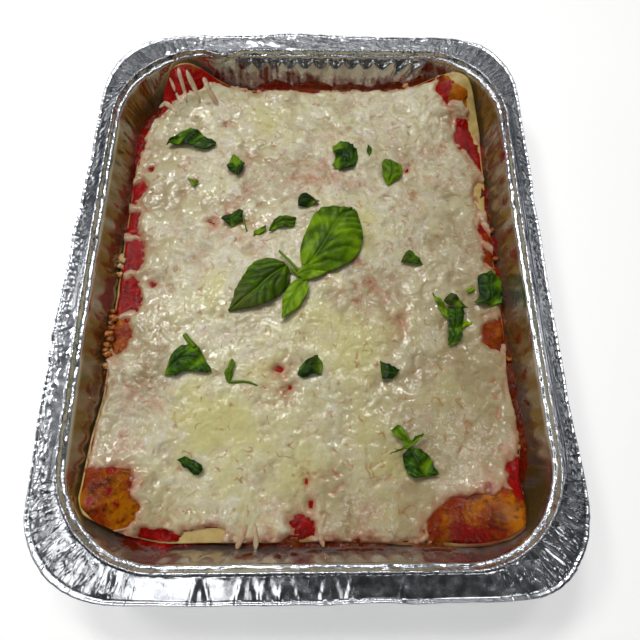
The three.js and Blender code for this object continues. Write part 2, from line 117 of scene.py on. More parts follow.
# Turns arrays of points and faces into a mesh object that rides on the dish. The faces are flipped together
# when the sum of their tetrahedra with the middle, a sixth of a . (b x c) each, is negative. Each value is an
# attribute with one number for each point, and nought for the points after its last.
def makePiece(name, points, faces, finish, values):
    points = putInFrame(np.asarray(points, float))
    middle = points.mean(0)
    volume = 0
    for group in faces:
        for k in range(1, group.shape[1] - 1):
            a, b, c = (points[group[:, n]] - middle for n in (0, k, k + 1))
            volume += np.einsum("ij,ij->", a, np.cross(b, c))
    if volume < 0:
        faces = [group[:, ::-1] for group in faces]
    corners = np.concatenate([group.ravel() for group in faces]).astype(np.int32)
    sizes = np.concatenate([np.full(len(group), group.shape[1]) for group in faces])
    mesh = bpy.data.meshes.new(name)
    mesh.vertices.add(len(points))
    mesh.vertices.foreach_set("co", points.astype(np.float32).ravel())
    mesh.loops.add(len(corners))
    mesh.loops.foreach_set("vertex_index", corners)
    mesh.polygons.add(len(sizes))
    mesh.polygons.foreach_set("loop_start", (np.cumsum(sizes) - sizes).astype(np.int32))
    mesh.polygons.foreach_set("use_smooth", np.ones(len(sizes), bool))
    for key, value in values.items():
        filled = np.zeros(len(points), np.float32)
        filled[:np.size(value)] = np.ravel(value)
        mesh.attributes.new(key, "FLOAT", "POINT").data.foreach_set("value", filled)
    mesh.update(calc_edges=True)
    mesh.validate()
    mesh.materials.append(finish)
    piece = bpy.data.objects.new(name, mesh)
    bpy.context.scene.collection.objects.link(piece)
    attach(piece, "root")
    print("lasagna: %s, %d triangles" % (name, (sizes - 2).sum()))
    return piece


# quads between neighbouring rows of a grid of points: round each row if wrapped, and from the last row back
# to the first if ringed
def gridQuads(rows, columns, first=0, wrapped=False, ringed=False):
    index = first + np.arange(rows * columns).reshape(rows, columns)
    if ringed:
        index = np.concatenate([index, index[:1]])
    if wrapped:
        index = np.concatenate([index, index[:, :1]], 1)
    return np.stack([index[:-1, :-1], index[:-1, 1:], index[1:, 1:], index[1:, :-1]], -1).reshape(-1, 4)


# triangles from a closed loop of points to one point
def fanTriangles(loop, tip):
    return np.stack([loop, np.roll(loop, -1), np.full(len(loop), tip)], 1)


# faces of rows of rings, closed at both ends to the two points that follow them
def closedRings(rows, columns):
    size = rows * columns
    first, last = np.arange(columns), np.arange(size - columns, size)
    tube = gridQuads(rows, columns, wrapped=True)
    return [tube, fanTriangles(first, size)[:, ::-1], fanTriangles(last, size + 1)]


# the loop of points round the edge of a grid
def edgeLoop(rows, columns, first=0):
    index = first + np.arange(rows * columns).reshape(rows, columns)
    return np.concatenate([index[0, :-1], index[:-1, -1], index[-1, :0:-1], index[:0:-1, 0]])


# Places round the inner edge of the rim, from the middle of the near right corner on: four straights and four
# quarter circles, each place with its direction outwards and its distance gone.
def walkRim(longSteps, cornerSteps, shortSteps, farSteps=None):
    radius = dish["cornerRadius"]
    signs = np.array([(1, -1), (1, 1), (-1, 1), (-1, -1), (1, -1)])
    centres = signs * [dish["halfWidth"] - radius, dish["halfLength"] - radius]
    parts = []
    for k, steps in enumerate((longSteps, farSteps or shortSteps, longSteps, shortSteps)):
        centre, after = centres[k, :, None], centres[k + 1, :, None]
        angle = np.pi * (0.5 * k - 0.5 + 0.5 * np.arange(cornerSteps) / cornerSteps)
        turning = np.stack([np.cos(angle), np.sin(angle)])
        parts.append(np.concatenate([centre + radius * turning, turning]))
        out = np.array([(1, 0), (0, 1), (-1, 0), (0, -1)])[k, :, None]
        t = np.arange(steps) / steps
        parts.append(np.concatenate([centre + radius * out + (after - centre) * t, out + 0 * t]))
    x, y, nx, ny = np.roll(np.concatenate(parts, 1), -(cornerSteps // 2), axis=1)
    step = np.hypot(np.roll(x, -1) - x, np.roll(y, -1) - y)
    gone = np.cumsum(step) - step
    return {"x": x, "y": y, "nx": nx, "ny": ny, "gone": gone, "corner": 4 * nx ** 2 * ny ** 2}


# places a distance inwards from the rim's inner edge
def stepIn(rim, inset):
    return rim["x"] - rim["nx"] * inset, rim["y"] - rim["ny"] * inset


# the wall's step inwards from the rim's inner edge at a height
def wallInset(z):
    return dish["wallStart"] + np.maximum(0, dish["wallTop"] - z) * np.tan(np.radians(dish["wallSlope"]))


# Materials. Sizes of noise are in millimetres of the piece's own space.

def feed(tree, node, inputs):
    for key, value in inputs.items():
        if isinstance(value, bpy.types.NodeSocket):
            tree.links.new(value, node.inputs[key])
        else:
            node.inputs[key].default_value = value


def startFinish(name, settings):
    finish = bpy.data.materials.new(name)
    finish.use_nodes = True
    shader = finish.node_tree.nodes["Principled BSDF"]
    feed(finish.node_tree, shader, settings)
    return finish, finish.node_tree, shader


def addNode(tree, kind, settings=None, inputs=None):
    node = tree.nodes.new(kind)
    for key, value in (settings or {}).items():
        setattr(node, key, value)
    feed(tree, node, inputs or {})
    return node


def piecePlace(tree):
    node = tree.nodes.get("Texture Coordinate") or addNode(tree, "ShaderNodeTexCoord")
    return node.outputs["Object"]


def grain(tree, size, detail=4, roughness=0.55, distortion=0.0):
    return addNode(tree, "ShaderNodeTexNoise", None, {
        "Vector": piecePlace(tree), "Scale": 1 / (size * mm), "Detail": detail, "Roughness": roughness,
        "Distortion": distortion}).outputs["Fac"]


def remap(tree, value, low, high, toLow=0.0, toHigh=1.0):
    return addNode(tree, "ShaderNodeMapRange", None, {
        "Value": value, "From Min": low, "From Max": high, "To Min": toLow,
        "To Max": toHigh}).outputs["Result"]


# the share of a place in patches of noise: from toLow to toHigh while the noise goes from low to high
def patches(tree, size, low, high, toLow=0.0, toHigh=1.0, detail=4, roughness=0.55, distortion=0.0):
    return remap(tree, grain(tree, size, detail, roughness, distortion), low, high, toLow, toHigh)


# ridges where the noise crosses its middle: |noise - 0.5|
def creases(tree, size, detail, roughness, distortion):
    off = mathStep(tree, "SUBTRACT", grain(tree, size, detail, roughness, distortion), 0.5)
    return mathStep(tree, "ABSOLUTE", off, 0.0)


def mathStep(tree, operation, a, b):
    return addNode(tree, "ShaderNodeMath", {"operation": operation}, {0: a, 1: b}).outputs[0]


def mixColours(tree, share, first, second):
    return addNode(tree, "ShaderNodeMix", {"data_type": "RGBA"}, {0: share, 6: first, 7: second}).outputs[2]


def pieceValue(tree, name):
    return addNode(tree, "ShaderNodeAttribute", {"attribute_name": name}).outputs["Fac"]


# bumps of a depth in millimetres, over other bumps where they are given
def bumps(tree, height, strength, depth, under=None):
    inputs = {"Height": height, "Strength": strength, "Distance": depth * mm}
    if under is not None:
        inputs["Normal"] = under
    return addNode(tree, "ShaderNodeBump", None, inputs).outputs["Normal"]


# sRGB 0 to 255 as scene colour, with full cover
def colour(red, green, blue):
    share = np.array([red, green, blue]) / 255
    linear = np.where(share < 0.04045, share / 12.92, ((share + 0.055) / 1.055) ** 2.4)
    return (*linear.tolist(), 1.0)


# foil: crinkled cells on the rim's flat, radial pleats in its corners, stains of sauce and oil on the wall
def foilFinish():
    look = {"metal": colour(226, 228, 232), "shade": colour(205, 208, 214), "oil": colour(148, 118, 64),
            "sauce": colour(112, 18, 4), "brown": colour(84, 38, 8), "rust": colour(150, 60, 18)}
    finish, tree, shader = startFinish("pressed_foil", {"Metallic": 1.0, "Roughness": 0.2})
    ragged = mathStep(tree, "ADD", pieceValue(tree, "stain"), patches(tree, 2.2, 0.3, 0.7, -0.22, 0.22))
    cover = remap(tree, ragged, 0.25, 0.8)
    tint = mixColours(tree, pieceValue(tree, "burnt"), look["sauce"], look["brown"])
    mottled = mixColours(tree, patches(tree, 1.4, 0.35, 0.7, 0.0, 0.5), tint, look["rust"])
    plain = mixColours(tree, patches(tree, 9, 0.35, 0.7), look["metal"], look["shade"])
    oiled = mixColours(tree, pieceValue(tree, "film"), plain, look["oil"])
    greasy = remap(tree, pieceValue(tree, "film"), 0.0, 1.0, 1.0, 0.72)
    place = piecePlace(tree)
    warp = addNode(tree, "ShaderNodeTexNoise", None, {"Vector": place, "Scale": 300.0}).outputs["Color"]
    bent = addNode(tree, "ShaderNodeMix", {"data_type": "VECTOR"}, {0: 0.0012, 4: place, 5: warp}).outputs[1]
    cells = addNode(tree, "ShaderNodeTexVoronoi", None, {"Vector": bent, "Scale": 330.0}).outputs["Distance"]
    crinkled = bumps(tree, cells, pieceValue(tree, "crinkle"), 0.9)
    along = {0: pieceValue(tree, "around"), 1: pieceValue(tree, "outward")}
    unrolled = addNode(tree, "ShaderNodeCombineXYZ", None, along).outputs[0]
    pleats = addNode(tree, "ShaderNodeTexNoise", None, {"Vector": unrolled, "Scale": 0.6, "Detail": 2.0})
    sharp = remap(tree, pleats.outputs["Fac"], 0.5, 0.68)
    pleated = bumps(tree, sharp, pieceValue(tree, "pleated"), 0.3, crinkled)
    feed(tree, shader, {
        "Base Color": mixColours(tree, cover, oiled, mottled),
        "Metallic": mathStep(tree, "MULTIPLY", remap(tree, cover, 0.0, 1.0, 1.0, 0.12), greasy),
        "Roughness": patches(tree, 5, 0.35, 0.68, 0.13, 0.30, 5),
        "Normal": bumps(tree, grain(tree, 1.6, 5, 0.6, 0.8), 0.22, 0.22, pleated)})
    return finish


# pasta: pale sheets, toasted between its layers and in spots, burnt where the piece says so
def pastaFinish():
    look = {"sheet": colour(172, 144, 72), "pale": colour(204, 180, 116), "toasted": colour(150, 90, 28),
            "burnt": colour(112, 48, 10)}
    finish, tree, shader = startFinish("baked_pasta", {"Roughness": 0.42, "Subsurface Weight": 0.08,
                                                       "Subsurface Radius": (0.004, 0.002, 0.001)})
    body = mixColours(tree, patches(tree, 6, 0.35, 0.68), look["sheet"], look["pale"])
    layered = mixColours(tree, remap(tree, pieceValue(tree, "layer"), 0.25, 0.75), body, look["toasted"])
    layered = mixColours(tree, pieceValue(tree, "burnt"), layered, look["burnt"])
    spots = patches(tree, 3.5, 0.58, 0.75, 0.0, 0.55, 5, 0.65)
    feed(tree, shader, {"Base Color": mixColours(tree, spots, layered, look["toasted"]),
                        "Normal": bumps(tree, grain(tree, 1.8, 5), 0.35, 0.4)})
    return finish


# sauce: wet red, orange to gold with brown blotches where it is baked, and charred edges
def sauceFinish():
    look = {"red": colour(166, 8, 0), "deep": colour(98, 2, 0), "orange": colour(132, 42, 0),
            "gold": colour(178, 102, 3), "brown": colour(74, 20, 0), "char": colour(62, 18, 3)}
    finish, tree, shader = startFinish("tomato_sauce_wet", {"Roughness": 0.2, "Specular IOR Level": 0.14})
    red = mixColours(tree, patches(tree, 4.5, 0.3, 0.72, detail=5), look["red"], look["deep"])
    yellow = mathStep(tree, "ADD", pieceValue(tree, "gold"), patches(tree, 9, 0.42, 0.62, -0.3, 0.7))
    golden = mixColours(tree, remap(tree, yellow, 0.0, 1.0), look["orange"], look["gold"])
    baked = mixColours(tree, patches(tree, 4.2, 0.52, 0.68, 0.0, 0.85, 3, 0.6, 0.4), golden, look["brown"])
    share = mathStep(tree, "ADD", pieceValue(tree, "baked"), patches(tree, 3, 0.3, 0.7, -0.2, 0.2))
    warm = mixColours(tree, remap(tree, share, 0.35, 0.65), red, baked)
    charred = mathStep(tree, "MULTIPLY", pieceValue(tree, "char"), patches(tree, 2, 0.3, 0.6, 0.5, 1))
    feed(tree, shader, {"Base Color": mixColours(tree, charred, warm, look["char"]),
                        "Roughness": patches(tree, 2.5, 0.4, 0.62, 0.06, 0.18, 3),
                        "Normal": bumps(tree, grain(tree, 2.4, 3), 0.9, 1.0)})
    return finish


# cheese: cream to white, buttery where it is smooth, rosy and brown in its crevices, greyer towards its sides
# with painted shade, with white shreds that are partly painted glints, under a wet, folded film
def cheeseFinish():
    look = {"cream": colour(202, 193, 144), "white": colour(218, 212, 178), "yellow": colour(208, 201, 134),
            "thin": colour(170, 154, 114), "lilac": colour(212, 202, 188), "rose": colour(184, 122, 90),
            "shredWhiteAndGlint": colour(250, 246, 228), "toast": colour(164, 104, 52), "stain": colour(110, 34, 16)}
    finish, tree, shader = startFinish("melted_mozzarella", {
        "Roughness": 0.45, "Specular IOR Level": 0.25, "Coat Roughness": 0.06, "Subsurface Weight": 0.2,
        "Subsurface Radius": (0.004, 0.003, 0.0018)})
    wet, butter = pieceValue(tree, "wet"), pieceValue(tree, "butter")
    pale = mixColours(tree, patches(tree, 5, 0.38, 0.62, 0, 1, 5, 0.6, 0.5), look["cream"], look["white"])
    buttery = mixColours(tree, butter, pale, look["yellow"])
    lilac = mathStep(tree, "MULTIPLY", patches(tree, 7, 0.42, 0.6, 0.0, 0.6, 3, 0.55, 0.6), wet)
    milky = mixColours(tree, lilac, buttery, look["lilac"])
    # greyer where the cheese is thin, and painted shade towards its sides, from the same share
    thinned = mixColours(tree, pieceValue(tree, "thin"), milky, look["thin"])
    # white shreds in the wet patches, partly a painted highlight standing in for small glints
    strands = mathStep(tree, "MULTIPLY", patches(tree, 3.0, 0.54, 0.68, 0.0, 0.5, 3, 0.6, 1.6), wet)
    shredsAndPaintedGlints = mixColours(tree, strands, thinned, look["shredWhiteAndGlint"])
    rose = mathStep(tree, "ADD", pieceValue(tree, "rose"), patches(tree, 2.6, 0.3, 0.7, -0.18, 0.18))
    rosy = mixColours(tree, remap(tree, rose, 0.15, 1.0), shredsAndPaintedGlints, look["rose"])
    thinSeams = remap(tree, creases(tree, 8, 0.6, 0.5, 0.6), 0.0, 0.05, 0.8, 0.0)
    seams = mathStep(tree, "MULTIPLY", thinSeams, patches(tree, 6.5, 0.53, 0.63, detail=1.5))
    fine = patches(tree, 2.0, 0.45, 0.68, 0, 1, 5, 0.7, 1.0)
    flecks = mathStep(tree, "MULTIPLY", fine, pieceValue(tree, "toast"))
    browned = mixColours(tree, mathStep(tree, "MAXIMUM", flecks, seams), rosy, look["toast"])
    specks = mathStep(tree, "MULTIPLY", patches(tree, 1.9, 0.70, 0.76, 0.0, 0.75, 2),
                      patches(tree, 13, 0.42, 0.6, detail=2))
    stains = mathStep(tree, "MAXIMUM", specks, remap(tree, rose, 0.85, 1.3))
    soft = addNode(tree, "ShaderNodeMath", {"operation": "MULTIPLY_ADD"}, {
        0: grain(tree, 1.4, 4, 0.6, 0.4), 1: 0.25, 2: grain(tree, 4.4, 3, 0.5, 0.8)}).outputs[0]
    folded = remap(tree, wet, 0.0, 1.0, 0.16, 0.62)
    feed(tree, shader, {"Base Color": mixColours(tree, stains, browned, look["stain"]),
                        "Normal": bumps(tree, soft, 0.45, 1.4),
                        "Coat Weight": remap(tree, butter, 0.0, 1.0, 1.0, 0.3),
                        "Coat Normal": bumps(tree, creases(tree, 2.9, 1.6, 0.45, 1.2), folded, 2.0)})
    return finish


# crust: pale, then orange, then dark with its share of brown
def crustFinish():
    look = {"pale": colour(214, 190, 138), "orange": colour(186, 104, 30), "dark": colour(84, 34, 8)}
    finish, tree, shader = startFinish("baked_crust", {"Roughness": 0.35})
    share = mathStep(tree, "ADD", pieceValue(tree, "brown"), patches(tree, 1.8, 0.3, 0.7, -0.35, 0.35))
    warm = mixColours(tree, remap(tree, share, 0.0, 0.55), look["pale"], look["orange"])
    feed(tree, shader, {"Base Color": mixColours(tree, remap(tree, share, 0.55, 1.1), warm, look["dark"]),
                        "Normal": bumps(tree, grain(tree, 1.0), 0.5, 0.4)})
    return finish


# basil: mottled green, some leaves darker and some fresher than others, with painted shade in its grooves,
# along its margins and on facets of its bends, a painted highlight in lime on its bulges and low facets, and
# paler along its veins
def basilFinish():
    # deep is the darker green of the mottling and of some leaves, and also the painted shade; lime is fresh
    # green and also the painted highlight
    look = {"leaf": colour(78, 124, 2), "deep": colour(16, 42, 1), "limeAndHighlight": colour(146, 184, 12),
            "olive": colour(84, 92, 36), "vein": colour(122, 160, 30)}
    finish, tree, shader = startFinish("basil_leaf", {
        "Roughness": 0.38, "Specular IOR Level": 0.16, "Subsurface Weight": 0.06,
        "Subsurface Radius": (0.0006, 0.0012, 0.0002)})
    green = mixColours(tree, patches(tree, 4, 0.3, 0.7), look["leaf"], look["deep"])
    for name, tone in (("dark", "deep"), ("freshAndHighlight", "limeAndHighlight"), ("dull", "olive")):
        green = mixColours(tree, pieceValue(tree, name), green, look[tone])
    veins = remap(tree, pieceValue(tree, "vein"), 0.0, 1.0, 0.0, 0.7)
    feed(tree, shader, {"Base Color": mixColours(tree, veins, green, look["vein"]),
                        "Roughness": patches(tree, 2, 0.35, 0.65, 0.3, 0.5, 3),
                        "Normal": bumps(tree, grain(tree, 0.8), 0.3, 0.15)})
    return finish


foil = foilFinish()
pasta = pastaFinish()
sauce = sauceFinish()
cheese = cheeseFinish()
basil = basilFinish()
crust = crustFinish()
print("lasagna: finishes made")


# Pan. Every place round the rim carries the same profile: middle of the floor, up the wall, over the step,
# the flat rim and its rolled edge, then back down outside. Flutes, pleats, creases and beads move its points.
foilPan = {
    "steps": (128, 176, 120, 224),  # along a long side, a corner, the near side, the far side
    "thick": 0.8,
    "fluteDepth": 1.2,              # crown of a flute before the plain wall
    "fluteCrease": 1.0,             # crease between two flutes behind it
    "longFlutes": 20,
    "shortFlutes": 14,
    "archTop": 50.9,                # where the flutes end above, and how much lower they do between crowns:
    "archDrop": 3.8,                # along round arches
    "slantDrop": 7.2,               # along straight-sided ones on the far side
    "waver": 0.25,
    "farRecess": 1.6,               # how far the far wall stands back between its arches
    "farPush": 1.5,                 # and as a whole at its top
    "pleatDepth": 0.48,
    "beadPitch": 1.95,
    "dashPitch": 2.5,               # of the far rim's beads
    "rimWidth": 12.7,
    "cornerReach": 8.4,             # extra width of the rim over the corners
    # how far the rim is bent down in degrees: the left side at its near and far end, then the others
    "leftSlope": (8, 28),
    "rightSlope": 23,
    "farSlope": 1,
    "nearSlope": 3,
    "creaseDepth": 1.15,
    # heights of the profile's rows up the inner wall and down the outer one
    "innerLevels": [5, 20, 31, 34, 36, 38, 39.6, 41, 42.3, 43.5, 44.6, 45.5, 46.2, 46.8, 47.4, 48, 48.6,
                    49.2, 49.8, 50.4, 50.9],
    "outerLevels": [51, 50.3, 47, 42, 24, 5, 0],
    # the profile over the step: outwards, height, strength of the beads and their shift round the rim
    "step": [(-3.15, 51.6, 0, 0), (-3.0, 52.3, 0.1, 0), (-2.7, 52.75, 0.28, 0), (-2.3, 52.95, 0.34, 0),
             (-1.9, 53.0, 0.2, 0), (-1.55, 53.15, 0.25, 2), (-1.2, 53.7, 0.35, 3), (-0.9, 54.6, 0.36, 3),
             (-0.6, 55.4, 0.3, 3), (-0.3, 55.85, 0.3, 3), (0.0, 56.0, 0.3, 3), (0.35, 55.9, 0.3, 3),
             (0.7, 55.5, 0.2, 3), (1.05, 55.15, 0.1, 3)],
    "flat": (1.4, 9.4, 55.1),       # where the rim's flat begins, its width and its height
    "rolledEdge": [(11.1, 54.95), (11.45, 55.1), (11.8, 55.55), (12.2, 55.75), (12.6, 55.55), (12.85, 55.0),
                   (12.9, 54.3), (12.6, 53.7), (12.0, 53.4), (11.4, 53.6), (11.0, 54.1)],
    # under the rim: outwards, height, how far it is pushed out on the far side
    "underRim": [(1.2, 54.35, 0), (0.2, 54.15, 0), (-1.1, 52.5, 1.0), (-2.0, 51.9, 1.6)],
    # folds across the near and the left rim: place, lift, half width
    "nearFolds": [(-52.5, 0.9, 1.3), (-47.5, -0.9, 1.2), (-32.5, 1.0, 1.4), (-26, -0.7, 1.0),
                  (-22, 0.6, 0.9), (-18.5, -0.5, 0.9), (-14, 0.5, 1.0), (-9.5, -0.4, 0.9), (4.5, 0.7, 1.0),
                  (9.5, -0.6, 1.1), (16, 0.9, 1.2), (39, 0.5, 1.4)],
    "leftFolds": [(-29, 0.9, 1.6), (-33, -0.8, 1.5), (-38, 0.9, 2.0), (-44, -0.9, 1.8), (-50, 1.0, 2.2),
                  (-56, -0.7, 1.8), (-61, 0.6, 1.5)],
    "dentAt": -57,                  # x of the far rim's dent
    # how high the sauce's stain reaches on the far wall: x, z, how burnt
    "farBand": [(-88, 35, 0.5), (-72, 41, 0.6), (-60, 45, 0.7), (-50, 46, 0.8), (-42, 43, 0.7),
                (-34, 46, 0.4), (-25, 47.5, 0.3), (-14, 45.5, 0.3), (-4, 43.5, 0.35), (8, 40.5, 0.4),
                (22, 40, 0.4), (36, 41, 0.35), (46, 40, 0.4), (56, 41.5, 0.5), (66, 44.5, 0.6),
                (76, 46, 0.6), (88, 42, 0.6), (100, 34, 0.5)],
    # sauce and burnt spots on the wall: x, y, z, half length, half height, how burnt
    "smears": [(-46, 145, 49, 3.0, 7, 0.85), (75, 145, 46, 5, 4.5, 0.55), (84, 143, 46, 5, 3, 0.5),
               (116, 74, 50, 4, 4, 0.2), (115, 59, 46, 3, 3.5, 0.9), (115, 45, 46, 3, 4, 0.85),
               (116, 25, 47, 3.5, 4, 0.7), (116, 10, 48, 5, 5, 0.5), (113, -38, 42, 4, 4, 1.0),
               (113, -58, 42, 4, 3.5, 0.8), (113, -72, 40, 2.5, 3, 0.9), (-109, 72, 33, 12, 6, 0.3),
               (-111, 44, 35, 8, 4, 0.3), (-112, 24, 38, 5, 4, 0.6), (-113, -36, 42, 3, 4, 1.0),
               (-113, -66, 44, 3, 2, 0.4), (-31, -144, 43, 6, 5, 1.0), (-17, -144, 43, 3, 4, 1.0),
               (-9, -144, 42, 3, 5, 1.0), (-86, -140, 39, 9, 5, 0.2), (22, -144, 36, 20, 3, 1.0),
               (60, -144, 37, 14, 3, 0.9), (0, -144, 38, 5, 4, 0.9)],
}


# rim slope in degrees: level at the ends, bent down along the sides, most at the far left
def rimSlope(rim):
    near, far = foilPan["leftSlope"]
    left = near + (far - near) * smoothStep(rim["y"], -60, 100)
    side = np.where(rim["nx"] < 0, left, foilPan["rightSlope"])
    end = np.where(rim["ny"] > 0, foilPan["farSlope"], foilPan["nearSlope"])
    return np.radians(side * rim["nx"] ** 2 + end * rim["ny"] ** 2)


# How far the wall bulges in at each place and height: arches |sin(pi n)| from crease to crown across the
# flutes, none in the corners, which have pleats. They end above along round arches on three sides and along
# straight-sided ones, t = 0 at the crown and 1 at the crease, on the far side, and fade towards the floor.
def fluteBulge(rim, z):
    farSide, nearSide = smoothStep(rim["ny"], 0.9, 1), smoothStep(-rim["ny"], 0.9, 1)
    straightX, straightY = dish["halfWidth"] - dish["cornerRadius"], dish["halfLength"] - dish["cornerRadius"]
    longTurns = (rim["y"] + straightY) / (2 * straightY) * foilPan["longFlutes"] + 0.5
    shortTurns = (rim["x"] + straightX) / (2 * straightX) * foilPan["shortFlutes"] + 0.5
    shortTurns = shortTurns - 0.07 * (z - 44) * farSide * smoothStep(rim["x"], 42, 60)
    arch = np.abs(np.sin(np.pi * np.where(np.abs(rim["nx"]) > 0.7, longTurns, shortTurns)))
    t = 1 - 2 / np.pi * np.arcsin(arch)
    straight = np.clip((t - 0.16) / 0.84, 0, 1)
    drop = foilPan["archDrop"] * (1 - np.sqrt(arch)) * (1 - farSide)
    drop = drop + foilPan["slantDrop"] * straight * farSide
    soft = 8.5 - 7.3 * farSide - 2 * nearSide
    plain = 1 - smoothStep(rim["corner"], 0.0, 0.12)
    plain = plain * (1 - farSide * (1 - smoothStep(rim["x"], -51, -47)))
    window = smoothStep(foilPan["archTop"] - drop - z, -0.4, soft) * smoothStep(z, 2, 9) * plain
    recess = foilPan["farRecess"] * farSide * smoothStep(z, 43.5, 50.5) * (1 - window) * plain
    low = 1 - 0.6 * smoothStep(45 - z, 0, 9) - 0.25 * nearSide
    crown = foilPan["fluteDepth"] + foilPan["fluteCrease"]
    return window * low * (crown * arch ** (0.75 - 0.3 * farSide) - foilPan["fluteCrease"]) - recess


# sharp radial pleats of uneven width in the corners of the wall
def pleatShape(rim, z):
    gone = rim["gone"] + 2.2 * softNoise(rim["gone"] / 9, z / 30, 5)
    ridges = facetNoise(gone / 1.9, z / 26, 3) * 0.6 + facetNoise(gone / 4.3, z / 40, 4) * 0.6
    fading = smoothStep(z, 3, 24) * (1 - 0.7 * smoothStep(z, 49, 51.5))
    return ridges * smoothStep(rim["corner"], 0.0, 0.3) * fading


# how far the pressed wall stands in from the plain one at a height: flutes, pleats and a slow waver
def wallShape(rim, z):
    waver = foilPan["waver"] * softNoise(rim["gone"] / 17, z / 20, 21)
    pushedOut = foilPan["farPush"] * smoothStep(rim["ny"], 0.85, 1) * smoothStep(z, 20, 50)
    return fluteBulge(rim, z) + foilPan["pleatDepth"] * pleatShape(rim, z) + waver - pushedOut


# height of single folds across the rim: lift * (1 - |across| / width), each turned a little with its share
def foldHeight(along, share, folds, turn):
    height = 0
    for place, lift, width in folds:
        across = along - place + turn * (share - 0.5) * np.sign(lift)
        height = height + lift * np.maximum(0, 1 - np.abs(across) / width)
    return height


# Height of the creases on the flat rim at a share of its width: radial ones in the corners, short triangles
# towards the outer edge on the left, single folds on the near and the left side, and slow waves everywhere.
def creaseHeight(rim, share):
    gone, corner = rim["gone"], smoothStep(rim["corner"], 0.0, 0.35)
    leftSide, rightSide = smoothStep(-rim["nx"], 0.8, 1), smoothStep(rim["nx"], 0.8, 1)
    nearSide, farSide = smoothStep(-rim["ny"], 0.9, 1), smoothStep(rim["ny"], 0.8, 1)
    calm = 1 - 0.3 * smoothStep(rim["nx"] - rim["ny"], 0.9, 1.3)
    near = smoothStep(-rim["ny"], 0.05, 0.4)
    broad = facetNoise(gone / 2.9 + 0.5 * softNoise(gone / 11, share * 2, 8), share * 0.9, 9)
    broad = broad * (1 - near) + 1.7 * np.maximum(0, broad - 0.3) * near
    fine = facetNoise(gone / 1.25, share * 1.5, 10)
    fine = fine * (1 - near) + 1.5 * np.maximum(0, fine - 0.25) * near
    radial = calm * (0.7 * broad + 0.4 * fine)
    height = foilPan["creaseDepth"] * radial * corner * (1 - 0.7 * smoothStep(share, 0.8, 1.0))
    outer = smoothStep(share, 0.35, 0.6) * (1 - smoothStep(share, 0.93, 1.0))
    height = height + leftSide * 0.3 * facetNoise(gone / 2.1, share * 2.2, 12) * outer
    undented = 1 - np.exp(-((rim["x"] - foilPan["dentAt"]) / 12) ** 4)
    crumpled = 0.24 * facetNoise(gone / 1.9, share * 3, 14) + 0.3 * facetNoise(gone / 8, share * 4, 18)
    height = height + farSide * undented * crumpled
    trough = np.exp(-((share - 0.3 - 0.08 * softNoise(gone / 16, 0, 31)) / 0.14) ** 2)
    height = height + rightSide * (0.28 * facetNoise(gone / 1.9, share * 2.5, 15) * outer - 0.35 * trough)
    hills = np.abs(np.mod(rim["x"] / 13.5 + 0.3 * softNoise(rim["x"] / 20, 0, 19), 1) - 0.5) - 0.25
    height = height + nearSide * smoothStep(-rim["x"], 10, 45) * 0.55 * hills * (1 - share)
    height = height + nearSide * foldHeight(rim["x"], share, foilPan["nearFolds"], 2.5) * (0.4 + 0.6 * share)
    height = height + leftSide * 0.8 * foldHeight(rim["y"], share, foilPan["leftFolds"], 2)
    height = height + 0.25 * softNoise(gone / 21, share * 1.5, 16)
    return height + 0.06 * facetNoise(gone / 3.7, share * 4, 17)


# beads round the step: sines along the corners and the far side, facets on the near left, and an unevenness
def beadHeight(rim, shift):
    gone, x = rim["gone"], rim["x"]
    corners = np.sin(2 * np.pi * (gone + 0.6 * softNoise(gone / 7, 0, 22)) / foilPan["beadPitch"] + shift)
    corners = corners * smoothStep(rim["corner"], 0.0, 0.3) * (0.55 + 0.45 * softNoise(gone / 2.9, shift, 23))
    dashed = np.sin(2 * np.pi * x / foilPan["dashPitch"] + shift) * smoothStep(rim["ny"], 0.9, 1)
    dashed = dashed * smoothStep(x, -52, -44) * (0.7 + 0.5 * softNoise(x / 4, shift, 28))
    dotted = smoothStep(-rim["nx"], 0.9, 1) * smoothStep(rim["y"], -100, -40)
    dotted = dotted * facetNoise(gone / 1.9, shift, 24)
    return 1.5 * corners + 1.6 * dashed + 0.8 * dotted + 1.3 * softNoise(gone / 3.4, shift, 32)


# One row of the rim: its distance outwards and its height round the dish. Outer rows lie on the rim's slope,
# out * cos(slope) and z - out * sin(slope), inner ones are level. A share of the flat's width adds creases
# and a ragged edge, and clear pushes a row out on the far side.
def rimRow(rim, out, z, share=None, beads=0.0, shift=0.0, clear=0.0):
    slope, farSide = rimSlope(rim), smoothStep(rim["ny"], 0.9, 1)
    reach, height = out * np.cos(slope), z + beads * beadHeight(rim, shift)
    if out > 2:
        reach = reach * (1 + foilPan["cornerReach"] / foilPan["rimWidth"] * rim["corner"])
    if out > 0:
        reach = reach - (dish["height"] - z) * np.sin(slope) * 0.5
        height = height - out * np.sin(slope)
    else:
        reach = out + (clear - 0.45 * out) * smoothStep(rim["ny"], 0.85, 1)
    if share is not None:
        height = height + creaseHeight(rim, share) * smoothStep(share, 0, 0.12)
        ragged = 0.15 * smoothStep(rim["corner"], 0.0, 0.3) * facetNoise(rim["gone"] / 1.3, 0, 26)
        ragged = ragged + 0.5 * softNoise(rim["gone"] / 13, 0, 25)
        bulge = 2.0 * np.exp(-((rim["x"] + 10) / 34) ** 2) * farSide
        reach = reach + smoothStep(share, 0.5, 1) * (ragged + bulge)
    if -3.2 < out < 1.2:
        dent = farSide * np.exp(-((rim["x"] - foilPan["dentAt"]) / 9) ** 4)
        height = height - 1.1 * dent * (1 if out > -1 else 0.4)
        reach = reach - 2.2 * dent * (1 if out > -1.6 else 0.5)
    return reach, height


